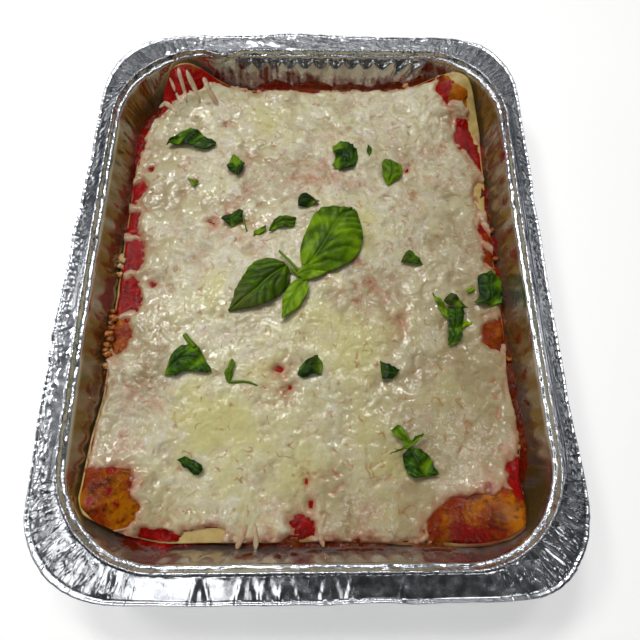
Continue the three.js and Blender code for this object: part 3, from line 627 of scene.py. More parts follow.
# Stains on the inner wall: a film of oil, smears exp(-0.7 (r^2 / long^2 + h^2 / tall^2)), and the far wall's
# band up to a wavering height. The strongest counts, and says how burnt the place is.
def wallStains(x, y, z, inside):
    cornerShare = np.hypot(x / dish["halfWidth"], y / dish["halfLength"])
    oily = 0.45 + 0.4 * smoothStep(np.abs(x), 90, 112) + 0.3 * smoothStep(cornerShare, 1.1, 1.25)
    oily = oily - 0.15 * smoothStep(-y, 138, 142) - 0.3 * smoothStep(y, 125, 138)
    oily = oily + 0.35 * layeredNoise(np.where(np.abs(x) > 105, y, x), z / 4, 6, 27)
    film = inside * np.clip(oily, 0.1, 1) * smoothStep(51.5 - z, 0, 2)
    stain, burnt = 0 * x, 0 * x
    for sx, sy, sz, long, tall, brown in foilPan["smears"]:
        away = np.hypot(x - sx, y - sy) / long
        smear = np.exp(-(away ** 2 + ((z - sz) / tall) ** 2) * 0.7) * inside
        burnt = np.where(smear > stain, brown, burnt)
        stain = np.maximum(stain, smear)
    bandX, bandZ, bandBurnt = np.array(foilPan["farBand"]).T
    height = np.interp(x, bandX, bandZ) + 1.4 * softNoise(x / 2.6, 0, 29) + 1.0 * softNoise(x / 1.1, 0, 30)
    streaks = 0.66 + 0.34 * softNoise(x / 1.8, z / 14, 33) + 0.3 * softNoise(x / 8, z / 8, 34)
    streaks = streaks - 0.12 * smoothStep(x, 0, 12)
    band = streaks * smoothStep(height - z, -3.0, 3.4) * inside * smoothStep(y, 118, 130)
    brown = np.interp(x, bandX, bandBurnt) + 0.35 * softNoise(x / 4, z / 7, 35)
    burnt = np.where(band > stain, np.clip(brown, 0, 1), burnt)
    return {"stain": np.maximum(stain, band), "burnt": burnt, "film": film}


def buildPan():
    rim = walkRim(*foilPan["steps"])
    flat = np.zeros(len(rim["x"]))
    thick = foilPan["thick"]
    levels = np.array(foilPan["innerLevels"])
    pressed = np.array([wallShape(rim, z) for z in levels])
    rows = [(flat - wallInset(thick) - step, flat + thick) for step in (32, 1.5)]
    rows += [(-(wallInset(z) + shape), flat + z) for z, shape in zip(levels, pressed)]
    rows += [rimRow(rim, out, z, None, beads, shift) for out, z, beads, shift in foilPan["step"]]
    start, width, top = foilPan["flat"]
    rows += [rimRow(rim, start + width * share, top, share) for share in np.linspace(0, 1, 16)]
    rows += [rimRow(rim, out, z, 1.0) for out, z in foilPan["rolledEdge"]]
    rows += [rimRow(rim, start + width * share, top - thick, share) for share in (0.85, 0.4)]
    rows += [rimRow(rim, out, z, clear=clear) for out, z, clear in foilPan["underRim"]]
    # the outer skin clears every bulge of the inner one between its own rows
    outer = foilPan["outerLevels"]
    for above, z, below in zip(outer, outer[1:], outer[2:]):
        shape = pressed[(levels >= below) & (levels <= above)].min(axis=0)
        rows.append((thick - wallInset(z) - shape, flat + z))
    rows.append((flat - wallInset(0) - 0.4, flat))

    reach, height = (np.array([row[n] for row in rows]) for n in (0, 1))
    x, y = stepIn(rim, -reach)
    points = np.stack([x.ravel(), y.ravel(), height.ravel()], 1)
    points = np.concatenate([points, [[0, 0, thick], [0, 0, 0]]])
    insideRows = len(levels) + 7        # floor, wall and the lower half of the step
    inside = np.arange(len(points)) < insideRows * len(flat)
    crinkle = 0.04 + 0.4 * smoothStep(reach, -3, -2) * smoothStep(-reach, -2, -1)
    sides = 0.5 * smoothStep(-rim["nx"], 0.8, 1) + 0.6 * smoothStep(rim["nx"], 0.8, 1)
    sides = sides + 0.3 * smoothStep(rim["ny"], 0.85, 1)
    values = {**wallStains(*points.T, inside), "crinkle": crinkle + sides * smoothStep(reach, 3.5, 6.5),
              "pleated": 0.85 * smoothStep(rim["corner"], 0.0, 0.3) * smoothStep(reach, -3.2, -2.2),
              "around": np.tile(rim["gone"], len(rows)), "outward": reach / 5}
    return makePiece("foil_dish", points, closedRings(len(rows), len(flat)), foil, values)


panPiece = buildPan()
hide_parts("foil_pan")


# Food. Its upper surfaces share one sheet of places: the outline round the food on all four sides, and
# between them the blend of opposite sides less the blend of the corners.
stack = {
    "height": 32.6,
    "sheetStep": 7.5,               # height of one layer of pasta and filling
    "clearance": 0.3,               # between the food's edge and the pressed wall
    # where it has drawn back from the wall: x, y, spread, depth
    "hollows": [(-88, -143, 12, 1.2), (-113, 118, 15, 6.5), (112, -60, 14, 2.4), (118, -112, 15, 6),
                (110, 48, 9, 3)],
    # corners of the upper sheet that lean up against the wall: x, y, spread, lift
    "raised": [(-83, 143, 15, 19.5), (96, 136, 16, 18.5), (-106, -124, 15, 16), (98, -131, 15, 15),
               (-116, -90, 13, 6), (-116, -46, 22, 2.2), (114, -98, 11, 4), (-116, 20, 24, 1.4)],
    # corners of the upper sheet that stick out and edges that stand back: x, y, spread, outwards
    "tips": [(-109, -122, 5, 2.2), (99, -136, 4, 3.4), (66, -144, 16, 3.4), (-88, 139, 6, 1.5),
             (97, 134, 6, 1.2), (-104, 122, 9, -1.5), (106, 118, 9, -1.0), (-114, 10, 60, 1.0),
             (-100, -132, 5, -0.8)],
    # toasted brown along the edge: x, y, spread
    "toasted": [(-14, -141, 8), (8, -142, 11), (30, -143, 13), (55, -144, 14), (80, -142, 11),
                (108, -60, 9), (108, -40, 9), (110, 20, 9), (99, -136, 8), (88, -140, 8), (104, -112, 10),
                (-68, 144, 9), (-54, 143, 7)],
}


# how far the food has drawn back from the wall: a slow wave and round hollows
def drawnBack(x, y):
    total = 0.2 * (1 + np.sin(x / 9 + y / 13))
    for cx, cy, spread, depth in stack["hollows"]:
        total = total + depth * roundSpot(x, y, cx, cy, spread)
    return total


# nearly level, with raised bumps exp(-r^2 / 2s^2) at the corners and along the sides
def stackTop(x, y):
    height = stack["height"] + 0.8 * np.cos(x / 46 + 0.4) * np.cos(y / 60 - 0.3)
    for cx, cy, spread, lift in stack["raised"]:
        height = height + lift * roundSpot(x, y, cx, cy, spread)
    return height


# a thin layer over the stack
def sauceLevel(x, y):
    return stackTop(x, y) + sauceLayer["thick"]


# how far in the food's side stands at a height, before its own bulges
def sideInset(rim, z, gap):
    return wallInset(z) + foilPan["fluteDepth"] + gap + drawnBack(rim["x"], rim["y"])


# places round the food's upper edge, where wall and upper surface meet: high corners reach further out
def foodOutline(rim, extra):
    tips = 0
    tipX, tipY = stepIn(rim, 4)
    for cx, cy, spread, push in stack["tips"]:
        tips = tips + push * roundSpot(tipX, tipY, cx, cy, spread)
    z = np.full(len(rim["x"]), 38.0)
    for _ in range(8):
        pressed = wallInset(z) + np.maximum(wallShape(rim, z), 0) + stack["clearance"]
        x, y = stepIn(rim, np.maximum(sideInset(rim, z, 0.4) - tips, pressed) + extra)
        z = stackTop(x, y)
    return x, y


# sheet of places with x and y as arrays of rows from near to far and columns from left to right
def foodSheet(longSteps, cornerSteps, shortSteps, extra):
    rim = walkRim(longSteps, cornerSteps, shortSteps)
    edge = np.stack(foodOutline(rim, extra), 1)
    rows, columns = longSteps + cornerSteps, shortSteps + cornerSteps
    right = edge[:rows + 1]
    far = edge[rows:rows + columns + 1][::-1]
    left = edge[rows + columns:2 * rows + columns + 1][::-1]
    near = np.concatenate([edge[2 * rows + columns:], edge[:1]])
    a = (np.arange(columns + 1) / columns)[None, :, None]
    b = (np.arange(rows + 1) / rows)[:, None, None]
    sides = (1 - a) * left[:, None] + a * right[:, None]
    ends = (1 - b) * near[None] + b * far[None]
    corners = (1 - a) * (1 - b) * near[0] + a * (1 - b) * near[-1] + (1 - a) * b * far[0] + a * b * far[-1]
    return np.moveaxis(sides + ends - corners, 2, 0)


# steps from each place of a sheet to its nearest edge
def edgeSteps(shape):
    rows, columns = np.indices(shape)
    return np.minimum(np.minimum(rows, shape[0] - 1 - rows), np.minimum(columns, shape[1] - 1 - columns))


# closes a sheet below with every fourth of its places, lowered to a second height
def closeSheet(x, y, top, bottom, step=4):
    sheet = np.stack([x, y, top], -1)
    under = np.stack([x, y, bottom], -1)[::step, ::step]
    high = edgeLoop(*x.shape)
    low = edgeLoop(*under.shape[:2], x.size)
    nearest = low[((np.arange(len(high)) + step // 2) // step) % len(low)]
    opposite = high[(np.arange(len(low)) * step + step // 2) % len(high)]
    faces = [gridQuads(*x.shape), gridQuads(*under.shape[:2], x.size)[:, ::-1],
             np.stack([high, nearest, np.roll(high, -1)], 1), np.stack([low, np.roll(low, -1), opposite], 1)]
    return np.concatenate([sheet.reshape(-1, 3), under.reshape(-1, 3)]), faces


# Pasta stack: a profile carried round the outline, up the side in layered bulges |sin(pi z / sheetStep)| and
# over the upper edge, then across the top in shrinking copies of the outline.
def buildStack():
    rim = walkRim(150, 50, 110)
    gone = rim["gone"]
    edgeX, edgeY = foodOutline(rim, 0.0)
    flat = 0 * edgeX
    foot, shoulder = 3, 30          # heights where the side starts to bulge and where the upper edge begins
    rows, layer = [], []
    for z in np.concatenate([[1.1, 1.3, foot], np.linspace(5, shoulder, 22)]):
        bulge = np.abs(np.sin(np.pi * (z + 0.9 * softNoise(gone / 14, 0, 41)) / stack["sheetStep"]))
        inset = sideInset(rim, z, 0.5) + 0.9 * (1 - bulge ** 0.5) + 0.25 * (1 + layeredNoise(gone, z, 4, 42))
        rows.append((*stepIn(rim, inset + (1.6 if z < foot else 0)), flat + z))
        layer.append(1 - bulge)
    edgeInset = (rim["x"] - edgeX) * rim["nx"] + (rim["y"] - edgeY) * rim["ny"]
    for share, inset in ((0.3, 0.35), (0.6, 0.2), (0.8, 0.05)):
        z = shoulder + (stackTop(edgeX, edgeY) - shoulder) * share
        step = edgeInset + inset + 0.25 * (1 + layeredNoise(gone, z, 4, 43)) + (1 - share) * 0.5
        step = np.maximum(step, wallInset(z) + wallShape(rim, z) + stack["clearance"])
        rows.append((*stepIn(rim, step), z))
        layer.append(flat + 0.3)
    steps = (0.05, 0.25, 0.8, 2, 3.5, 5.5, 8, 12, 18, 26, 36, 50)
    for step, drop in zip(steps, [0.75, 0.25] + [0] * 10):
        x, y = edgeX - rim["nx"] * step, edgeY - rim["ny"] * step
        rows.append((x, y, stackTop(x, y) - drop + 0.2 * layeredNoise(x, y, 5, 44) * min(1, step)))
    for share in (0.6, 0.3):
        x, y = rows[-1][0] * share, rows[-1][1] * share
        rows.append((x, y, stackTop(x, y)))
    points = [np.stack(row, 1) for row in rows] + [[[0, 0, 1.1], [0, 0, stackTop(0.0, 0.0)]]]
    points = np.concatenate(points)
    burnt = strongestSpot(*points.T[:2], stack["toasted"])
    values = {"layer": np.concatenate(layer), "burnt": burnt}
    return makePiece("pasta_layers", points, closedRings(len(rows), len(flat)), pasta, values)


stackPiece = buildStack()
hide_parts("pasta_stack")


# Sauce over the upper sheet: the stack's height plus its own thickness and small lumps, rounded down along
# its edge and around the parts of the sheet that it leaves bare.
sauceLayer = {
    "steps": (176, 44, 132),
    "thick": 1.3,
    "roundEdge": 2.2,
    "lumps": 0.55,
    "smallLumps": 0.35,
    "bakedBlotches": 0.16,
    # bare places of the sheet: x, y, half length, half width, turn
    "bare": [(98, 134, 15, 6, -40), (106, 113, 23, 5, -80), (107, 56, 13, 6.5, 90), (-114, -2, 15, 3.4, 84),
             (-50, -138, 14, 6.5, 0), (-105, -130, 20, 3.4, -47), (-116, -40, 22, 2.4, 84),
             (-114, 20, 12, 2.6, 92), (-6, -141.5, 13, 4.5, 0)],
    # baked orange brown instead of red: x, y, spread
    "baked": [(-99, -117, 15), (-105, -38, 12), (101, -31, 12), (106, 20, 11), (82, -122, 18),
              (97, -128, 9), (36, -143, 26), (97, 124, 8), (86, 138, 6), (-77, 146, 7), (-112, -68, 9),
              (62, -138, 14), (8, 147, 12), (32, 147, 12), (56, 147, 12)],
    # red again: x, y, spread, share
    "red": [(76, -141, 9, 0.9), (101, -108, 9, 0.95), (103, 26, 5, 0.5), (-98, -103, 4, 0.8),
            (-104, -119, 2, 0.9), (-97, -115, 1.6, 0.9), (-93, -121, 1.8, 0.8)],
    # golden instead of orange: x, y, spread
    "gold": [(95, -121, 7), (98, -130, 5), (-90, -124, 6), (-96, -104, 5), (96, 128, 8)],
    # burnt brown edges: x, y, spread
    "char": [(10, -143, 9), (28, -144, 8), (48, -144, 8), (70, -144, 9), (-14, -143, 8), (108, -60, 6),
             (108, -44, 6), (60, 144, 8), (18, 147, 8), (40, 147, 7), (-45, 143, 5), (-104, -114, 2),
             (-97, -110, 2), (88, -128, 3), (80, -118, 2)],
}


# distance from an oval in about millimetres: less than nought inside it
def ovalDistance(x, y, cx, cy, long, wide, turn):
    c, s = np.cos(np.radians(turn)), np.sin(np.radians(turn))
    along, across = (x - cx) * c + (y - cy) * s, (y - cy) * c - (x - cx) * s
    return (np.sqrt((along / long) ** 2 + (across / wide) ** 2) - 1) * min(long, wide)


# a rounded edge: a quarter circle from nought at d = 0 to one at d = width
def roundedEdge(d, width):
    return np.sqrt(1 - (1 - np.clip(d / width, 0, 1)) ** 2)


# height = stack + thickness + lumps over a rounded edge, and under the stack's own surface where it is bare
def buildSauce():
    x, y = foodSheet(*sauceLayer["steps"], 0.5)
    steps = edgeSteps(x.shape) * 1.15
    inside = steps - 0.3 - 0.35 * layeredNoise(x, y, 7, 51)
    ragged = layeredNoise(x, y, 6, 52)
    for spot in sauceLayer["bare"]:
        inside = np.minimum(inside, ovalDistance(x, y, *spot) + ragged)
    lumps = sauceLayer["lumps"] * layeredNoise(x, y, 7, 53)
    lumps = lumps + sauceLayer["smallLumps"] * np.abs(layeredNoise(x, y, 3, 54, 2))
    bareDip, edgeDip, underDip = 0.9, 1.6, 2.4      # below the stack: bare places, outer edge, underside
    cover = roundedEdge(inside, sauceLayer["roundEdge"])
    top = stackTop(x, y) - bareDip + (sauceLayer["thick"] + bareDip + lumps) * cover
    top = np.where(steps < 0.5, stackTop(x, y) - edgeDip, top)
    points, faces = closeSheet(x, y, top, stackTop(x, y) - underDip)
    blotches = sauceLayer["bakedBlotches"] * layeredNoise(x, y, 9, 55)
    baked = strongestSpot(x, y, sauceLayer["baked"]) + blotches
    baked = smoothStep(baked, 0.42, 0.72)
    for cx, cy, spread, share in sauceLayer["red"]:
        baked = baked * (1 - share * roundSpot(x, y, cx, cy, spread))
    values = {"baked": baked, "gold": strongestSpot(x, y, sauceLayer["gold"]),
              "char": 0.9 * strongestSpot(x, y, sauceLayer["char"])}
    return makePiece("sauce_layer", points, faces, sauce, values)


saucePiece = buildSauce()
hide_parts("tomato_sauce")


# Cheese over the sauce: one melted cover with the relief of its grated shreds. It is drawn as a height over
# the food, thick where the distance inside its ragged edge is large and below the sauce where it is bare.
cheeseCover = {
    "steps": (252, 84, 176),
    "thick": 2.7,
    "roundEdge": 3.4,
    "ragged": 2.2,                  # how far its edge wanders
    "shredRelief": 0.6,
    "pillowRelief": 0.95,
    "creviceDepth": 0.6,
    "thinDepth": 0.7,
    "wrinkles": 0.2,
    "shreds": 1500,
    "shredLong": (8, 22),
    "shredWide": (1.2, 2.6),
    "rasterCell": 0.5,
    "rasterSpan": (250, 310),       # across and along the dish
    # bare spots: x, y, half length, half width, turn
    "bare": [(-86, 137, 26, 14, 26), (-62, 141, 11, 5, 0), (-97, 118, 8, 5, 30), (-112, 90, 20, 7, 80),
             (-108, 60, 8, 7.5, 90), (-108, 40, 13, 7.5, 90), (-106.5, 16, 14, 8.5, 88),
             (-105, -9, 14, 9.5, 95), (-107, -34, 14, 7, 84), (-114, -66, 10, 3.4, 88),
             (-107, -115, 15, 11, 25), (-98, -122, 14, 12, 0), (-95, -111, 8, 5, -15),
             (-76, -140, 18, 7.5, -3), (-50, -139, 15, 7.5, 0), (-31, -143, 4, 5.5, 60),
             (-22, -143, 4, 5, 90), (-4, -132, 8, 5.4, 138), (-1, -124, 2.4, 1.4, 70), (-8, -141, 12, 4, 0),
             (30, -146, 42, 6.2, 0), (82, -131, 30, 15, 13), (104, -106, 15, 6, 78), (112, -50, 9, 4, 90),
             (112.5, -68, 8, 4, 85), (104, -32, 10.5, 9, 90), (108, 25, 18, 7, 99), (109, 56, 13, 7.5, 90),
             (102, 97, 20, 8.5, -67), (90, 129, 15, 9, -53), (100, 122, 22, 8, -62), (72, 143, 12, 5, -8),
             (-28, 143, 13, 5, 0), (20, 145.5, 46, 3.0, 0), (-48, 142, 9, 4, 0), (-100, 76, 2.6, 1.8, 30),
             (-18, -54, 2.0, 1.5, 0), (-12, -65, 2.2, 1.1, 40), (61, 76, 1.8, 1.2, 0),
             (36, -7, 2.8, 1.2, 130), (50, -27, 1.6, 2.4, 0), (-3, -112, 1.4, 2.6, 0),
             (-90, -3, 2.2, 1.6, 0), (-54, 109, 2.6, 1.2, 0), (-59, 37, 2.4, 1.6, 0)],
    # cheese that hangs over bare spots and the edge: x, y, half length, half width, turn
    "kept": [(-106, 47, 7, 2.2, 0), (-106.5, 27, 6, 2.0, 0), (-108, 67, 5, 2.0, 20), (-104, 3, 4, 1.8, 30),
             (-102, -22, 5, 2.0, 10), (-85.5, -132, 4.5, 2.6, 70), (-36, -139, 5, 2.6, 84),
             (-27, -139, 4, 2.2, 80), (-19, -140, 4, 2.2, 80), (-42, -137, 3, 2, 60), (6, -141, 7, 3, 85),
             (105, 40, 9, 1.6, 118), (104, 24, 5, 1.4, 135), (101, -23, 4, 2.4, 0), (107, 43, 5, 3, 20),
             (90, -115, 4, 2, 40), (94, 116.5, 6.5, 3.2, -30), (101, -93, 9, 5, 80), (107, -56, 14, 3, 88),
             (104.5, -77, 12, 4, 86)],
    # crevices with sauce showing through: x, y, spread, strength
    "rose": [(-104, 84, 9, 0.6), (-96, -98, 8, 0.8), (-84, -122, 8, 0.7), (-70, -130, 9, 0.7),
             (88, -108, 9, 0.7), (60, -126, 10, 0.5), (-92, 118, 10, 0.5), (-30, 66, 9, 0.5),
             (4, 66, 12, 0.9), (16, 98, 8, 0.8), (-40, 78, 9, 0.9), (62, 76, 9, 0.7), (90, 92, 9, 0.6),
             (-48, 46, 8, 0.6), (-38, 30, 9, 0.6), (-86, -14, 8, 0.6), (-82, -66, 9, 0.5),
             (-82, -44, 7, 0.35), (12, -6, 9, 0.5), (36, -8, 8, 0.8), (50, -26, 8, 0.6), (-16, -58, 8, 0.9),
             (-2, -108, 7, 0.8), (2, -90, 8, 0.4), (70, -44, 9, 0.3), (-96, 20, 6, 0.4), (100, -52, 8, 0.5),
             (98, 12, 7, 0.5), (-66, -90, 6, 0.5), (40, -132, 14, 0.5)],
    # corners soaked with sauce: x, y, spread
    "soaked": [(-93, -112, 16), (86, -116, 18)],
    # glistening with many small glints: x, y, spread
    "wet": [(-44, 72, 14), (8, 62, 20), (47, 48, 16), (38, 112, 18), (84, 78, 16), (-47, -124, 16),
            (-84, -70, 12), (70, -98, 16), (30, -128, 12), (40, 10, 12), (-30, 0, 12), (96, 20, 10),
            (-60, 20, 14)],
    # thin, with the sauce's colour showing through; the same share also carries painted shade: x, y, spread
    "thin": [(-44, 84, 12), (62, 74, 13), (-84, -50, 16), (-10, -60, 10), (88, -70, 22), (96, 30, 16),
             (60, -120, 20), (4, -108, 12), (-30, 62, 12), (-78, 52, 10), (30, -6, 14), (100, -20, 14)],
    # buttery yellow, smooth: x, y, spread
    "butter": [(-36, -90, 34), (-20, -116, 22), (-66, -74, 18), (20, -34, 22), (48, -110, 18),
               (-60, -8, 16), (-30, 112, 12), (30, 30, 14), (72, -70, 16), (30, -80, 14)],
}


# Raster of half-melted shreds. Each is a rounded ridge 1 - (across / half width)^2 along a bent line, fading
# at its ends, and the highest ridge counts.
def shredRaster(count, seed):
    cell, (spanX, spanY) = cheeseCover["rasterCell"], cheeseCover["rasterSpan"]
    raster = np.zeros((int(spanY / cell), int(spanX / cell)))
    rng = np.random.default_rng(seed)
    for _ in range(count):
        long = rng.uniform(*cheeseCover["shredLong"])
        wide = rng.uniform(*cheeseCover["shredWide"])
        turn, bend = rng.uniform(0, np.pi), rng.normal(0, 0.03)
        cx, cy = rng.uniform(-spanX / 2, spanX / 2), rng.uniform(-spanY / 2, spanY / 2)
        high = rng.uniform(0.45, 1)
        reach = long / 2 + wide
        left, near = (int(max(0, (c + span / 2 - reach) / cell)) for c, span in ((cx, spanX), (cy, spanY)))
        right, far = (int((c + span / 2 + reach) / cell) + 1 for c, span in ((cx, spanX), (cy, spanY)))
        window = raster[near:far, left:right]
        gx = (left + np.arange(window.shape[1])) * cell - spanX / 2 - cx
        gy = ((near + np.arange(window.shape[0])) * cell - spanY / 2 - cy)[:, None]
        along = gx * np.cos(turn) + gy * np.sin(turn)
        across = gy * np.cos(turn) - gx * np.sin(turn) - bend * (along ** 2 - long ** 2 / 12)
        over = np.maximum(0, np.abs(along) - long / 2 + wide)
        np.maximum(window, high * (1 - (across / wide) ** 2 - (over / wide) ** 2), out=window)
    return raster


shredHeights = shredRaster(cheeseCover["shreds"], 61)


# the raster read between its cells
def shredAt(x, y):
    cell, (spanX, spanY) = cheeseCover["rasterCell"], cheeseCover["rasterSpan"]
    u, v = (x + spanX / 2) / cell, (y + spanY / 2) / cell
    i = np.clip(np.floor(u).astype(int), 0, shredHeights.shape[1] - 2)
    j = np.clip(np.floor(v).astype(int), 0, shredHeights.shape[0] - 2)
    u, v = np.clip(u - i, 0, 1), np.clip(v - j, 0, 1)
    low = shredHeights[j, i] * (1 - u) + shredHeights[j, i + 1] * u
    high = shredHeights[j + 1, i] * (1 - u) + shredHeights[j + 1, i + 1] * u
    return low * (1 - v) + high * v


# share from 0, shreds still showing, to 1, melted smooth
def meltedShare(x, y):
    return np.clip(0.85 * strongestSpot(x, y, cheeseCover["butter"]) + 0.3 * layeredNoise(x, y, 26, 62), 0, 1)


# distance inside the cheese's ragged edge in millimetres
def cheeseInside(x, y, steps):
    ragged = cheeseCover["ragged"]
    warpX = x + ragged * layeredNoise(x, y, 9, 63) + 0.6 * softNoise(x / 3.2, y / 3.2, 64)
    warpY = y + ragged * layeredNoise(x, y, 9, 65) + 0.6 * softNoise(x / 3.2, y / 3.2, 66)
    inside = steps - 1.8 + 1.3 * layeredNoise(x, y, 7, 67) + 0.7 * softNoise(x / 3, y / 3, 68)
    for spot in cheeseCover["bare"]:
        inside = np.minimum(inside, ovalDistance(warpX, warpY, *spot))
    for spot in cheeseCover["kept"]:
        inside = np.maximum(inside, np.minimum(-ovalDistance(x, y, *spot), steps))
    shreds = (shredAt(x, y) - 0.4) * 2.2
    return np.maximum(inside, np.minimum(shreds, inside + 0.9))


# Soft pillows between winding crevices: both follow a wandering noise w, pillows as |w|^0.6 and crevices
# where it crosses nought, exp(-(w / 0.15)^2), in patches only.
def pillowsAndCrevices(x, y):
    warpX, warpY = 3 * softNoise(x / 5, y / 5, 73), 3 * softNoise(x / 5 + 9, y / 5, 74)
    wander = layeredNoise(x + warpX, y + warpY, 12, 75)
    pillow = np.minimum(1, 1.5 * np.abs(wander)) ** 0.6
    patch = smoothStep(layeredNoise(x, y, 25, 76) + 1.3 * strongestSpot(x, y, cheeseCover["rose"]), 0.15, 0.8)
    broken = smoothStep(layeredNoise(x, y, 5, 79), -0.1, 0.4)
    return pillow, np.exp(-(wander / 0.15) ** 2) * patch * broken


# share of thinness: spots and noise, less where it is melted smooth
def thinShare(x, y):
    spots = 0.75 * strongestSpot(x, y, cheeseCover["thin"])
    return smoothStep(layeredNoise(x, y, 12, 80) + spots - 0.35 * meltedShare(x, y), 0.0, 1.1)


# thickness(d) = thick * sqrt(1 - (1 - d / round edge)^2) from a little outside its edge, where it dips into
# the sauce, plus pillows, shreds and fine wrinkles where it is thick
def cheeseLevel(x, y, steps):
    outside, dip = 0.6, 1.8         # how far it goes on outside its edge, and how deep it dips there
    inside = cheeseInside(x, y, steps)
    cover = roundedEdge(inside + outside, cheeseCover["roundEdge"] + outside)
    melted = meltedShare(x, y)
    lumps = 0.5 * np.sin(x / 13 + 0.8 * np.sin(y / 19)) * np.cos(y / 16 + 0.5) + 0.3 * np.sin((x - y) / 9.5)
    pillow, crevice = pillowsAndCrevices(x, y)
    shredded = (1 - 0.85 * melted) * smoothStep(layeredNoise(x, y, 18, 77), -0.3, 0.7)
    relief = cheeseCover["shredRelief"] * shredded * (shredAt(x, y) - 0.5)
    relief = relief + cheeseCover["pillowRelief"] * (pillow - 0.65) * (1 - 0.6 * melted)
    relief = relief - cheeseCover["creviceDepth"] * crevice - cheeseCover["thinDepth"] * thinShare(x, y)
    relief = relief + cheeseCover["wrinkles"] * layeredNoise(x, y, 4.2, 70)
    level = sauceLevel(x, y) - dip + (cheeseCover["thick"] + dip + lumps + relief) * cover
    return level, inside


# the food's upper surface well inside its edge
def foodLevel(x, y):
    return np.maximum(cheeseLevel(x, y, np.full(np.shape(x), 9.0))[0], sauceLevel(x, y))


# the cover's sheet with its shares of toast, rose, butter, thinness with painted shade, and wetness
def buildCheese():
    x, y = foodSheet(*cheeseCover["steps"], 0.2)
    steps = edgeSteps(x.shape) * 0.78
    top, inside = cheeseLevel(x, y, steps)
    edgeDip, underDip = 2.2, 2.6    # below the sauce: the outer edge and the underside
    top = np.where(steps < 0.4, sauceLevel(x, y) - edgeDip, top)
    points, faces = closeSheet(x, y, top, sauceLevel(x, y) - underDip)
    hollow = smoothStep(0.5 - shredAt(x, y), 0.0, 0.4)
    pillow, crevice = pillowsAndCrevices(x, y)
    browned = smoothStep(layeredNoise(x, y, 14, 78), -0.4, 0.2)
    toast = np.clip(0.2 + 0.5 * layeredNoise(x, y, 16, 71), 0, 1) * (0.2 + 0.6 * hollow)
    toast = toast + 0.9 * crevice * browned
    butter = smoothStep(meltedShare(x, y), 0.15, 1.1)
    wet = strongestSpot(x, y, cheeseCover["wet"]) + 0.7 * layeredNoise(x, y, 11, 81) - 0.4 * butter
    wet = smoothStep(wet, -0.2, 0.7)
    soaked = strongestSpot(x, y, cheeseCover["soaked"])
    edgeRose = (0.75 + 0.4 * soaked) * np.exp(-np.clip(inside, 0, 50) / (2.4 + 1.6 * soaked))
    spotRose = strongestSpot(x, y, cheeseCover["rose"]) * (0.2 + 0.3 * hollow + 0.25 * (1 - pillow))
    rose = np.maximum(np.maximum(edgeRose, spotRose), 0.95 * crevice * (1 - browned))
    rose = rose + 0.3 * wet * smoothStep(layeredNoise(x, y, 8, 82), 0.0, 0.6)
    rose = rose + 0.1 * layeredNoise(x, y, 24, 72)
    # thin places and the hollows between pillows, plus painted shade that greys the cheese towards the right,
    # the left and the near side
    thin = 0.6 * thinShare(x, y) + 0.3 * (1 - pillow) * (1 - butter) + 0.75 * smoothStep(x - 0.3 * y, -5, 125)
    thin = np.clip(thin + 0.35 * smoothStep(-x, 55, 105) + 0.2 * smoothStep(-y, 100, 150), 0, 1)
    values = {"toast": toast, "rose": rose, "butter": butter, "thin": thin, "wet": wet}
    return makePiece("cheese_cover", points, faces, cheese, values)


cheesePiece = buildCheese()
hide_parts("melted_cheese")


# what a leaf has where its own entry says nothing: edge, veins, heights in millimetres and shares of tone
plainLeaf = {
    "ragged": 0.15, "rib": 0.0, "ribBend": 0.0, "veins": 3, "arch": 1.0, "ripple": 0.3, "tip": 0.0,
    "fold": 0.0, "raise": 0.0, "quilt": 0.35, "groove": 0.4, "bend": 1.5, "bendSize": 6.5, "thick": 0.5,
    "veined": 0.25, "dark": 0.3, "freshAndHighlight": 0.0, "dull": 0.0,
}


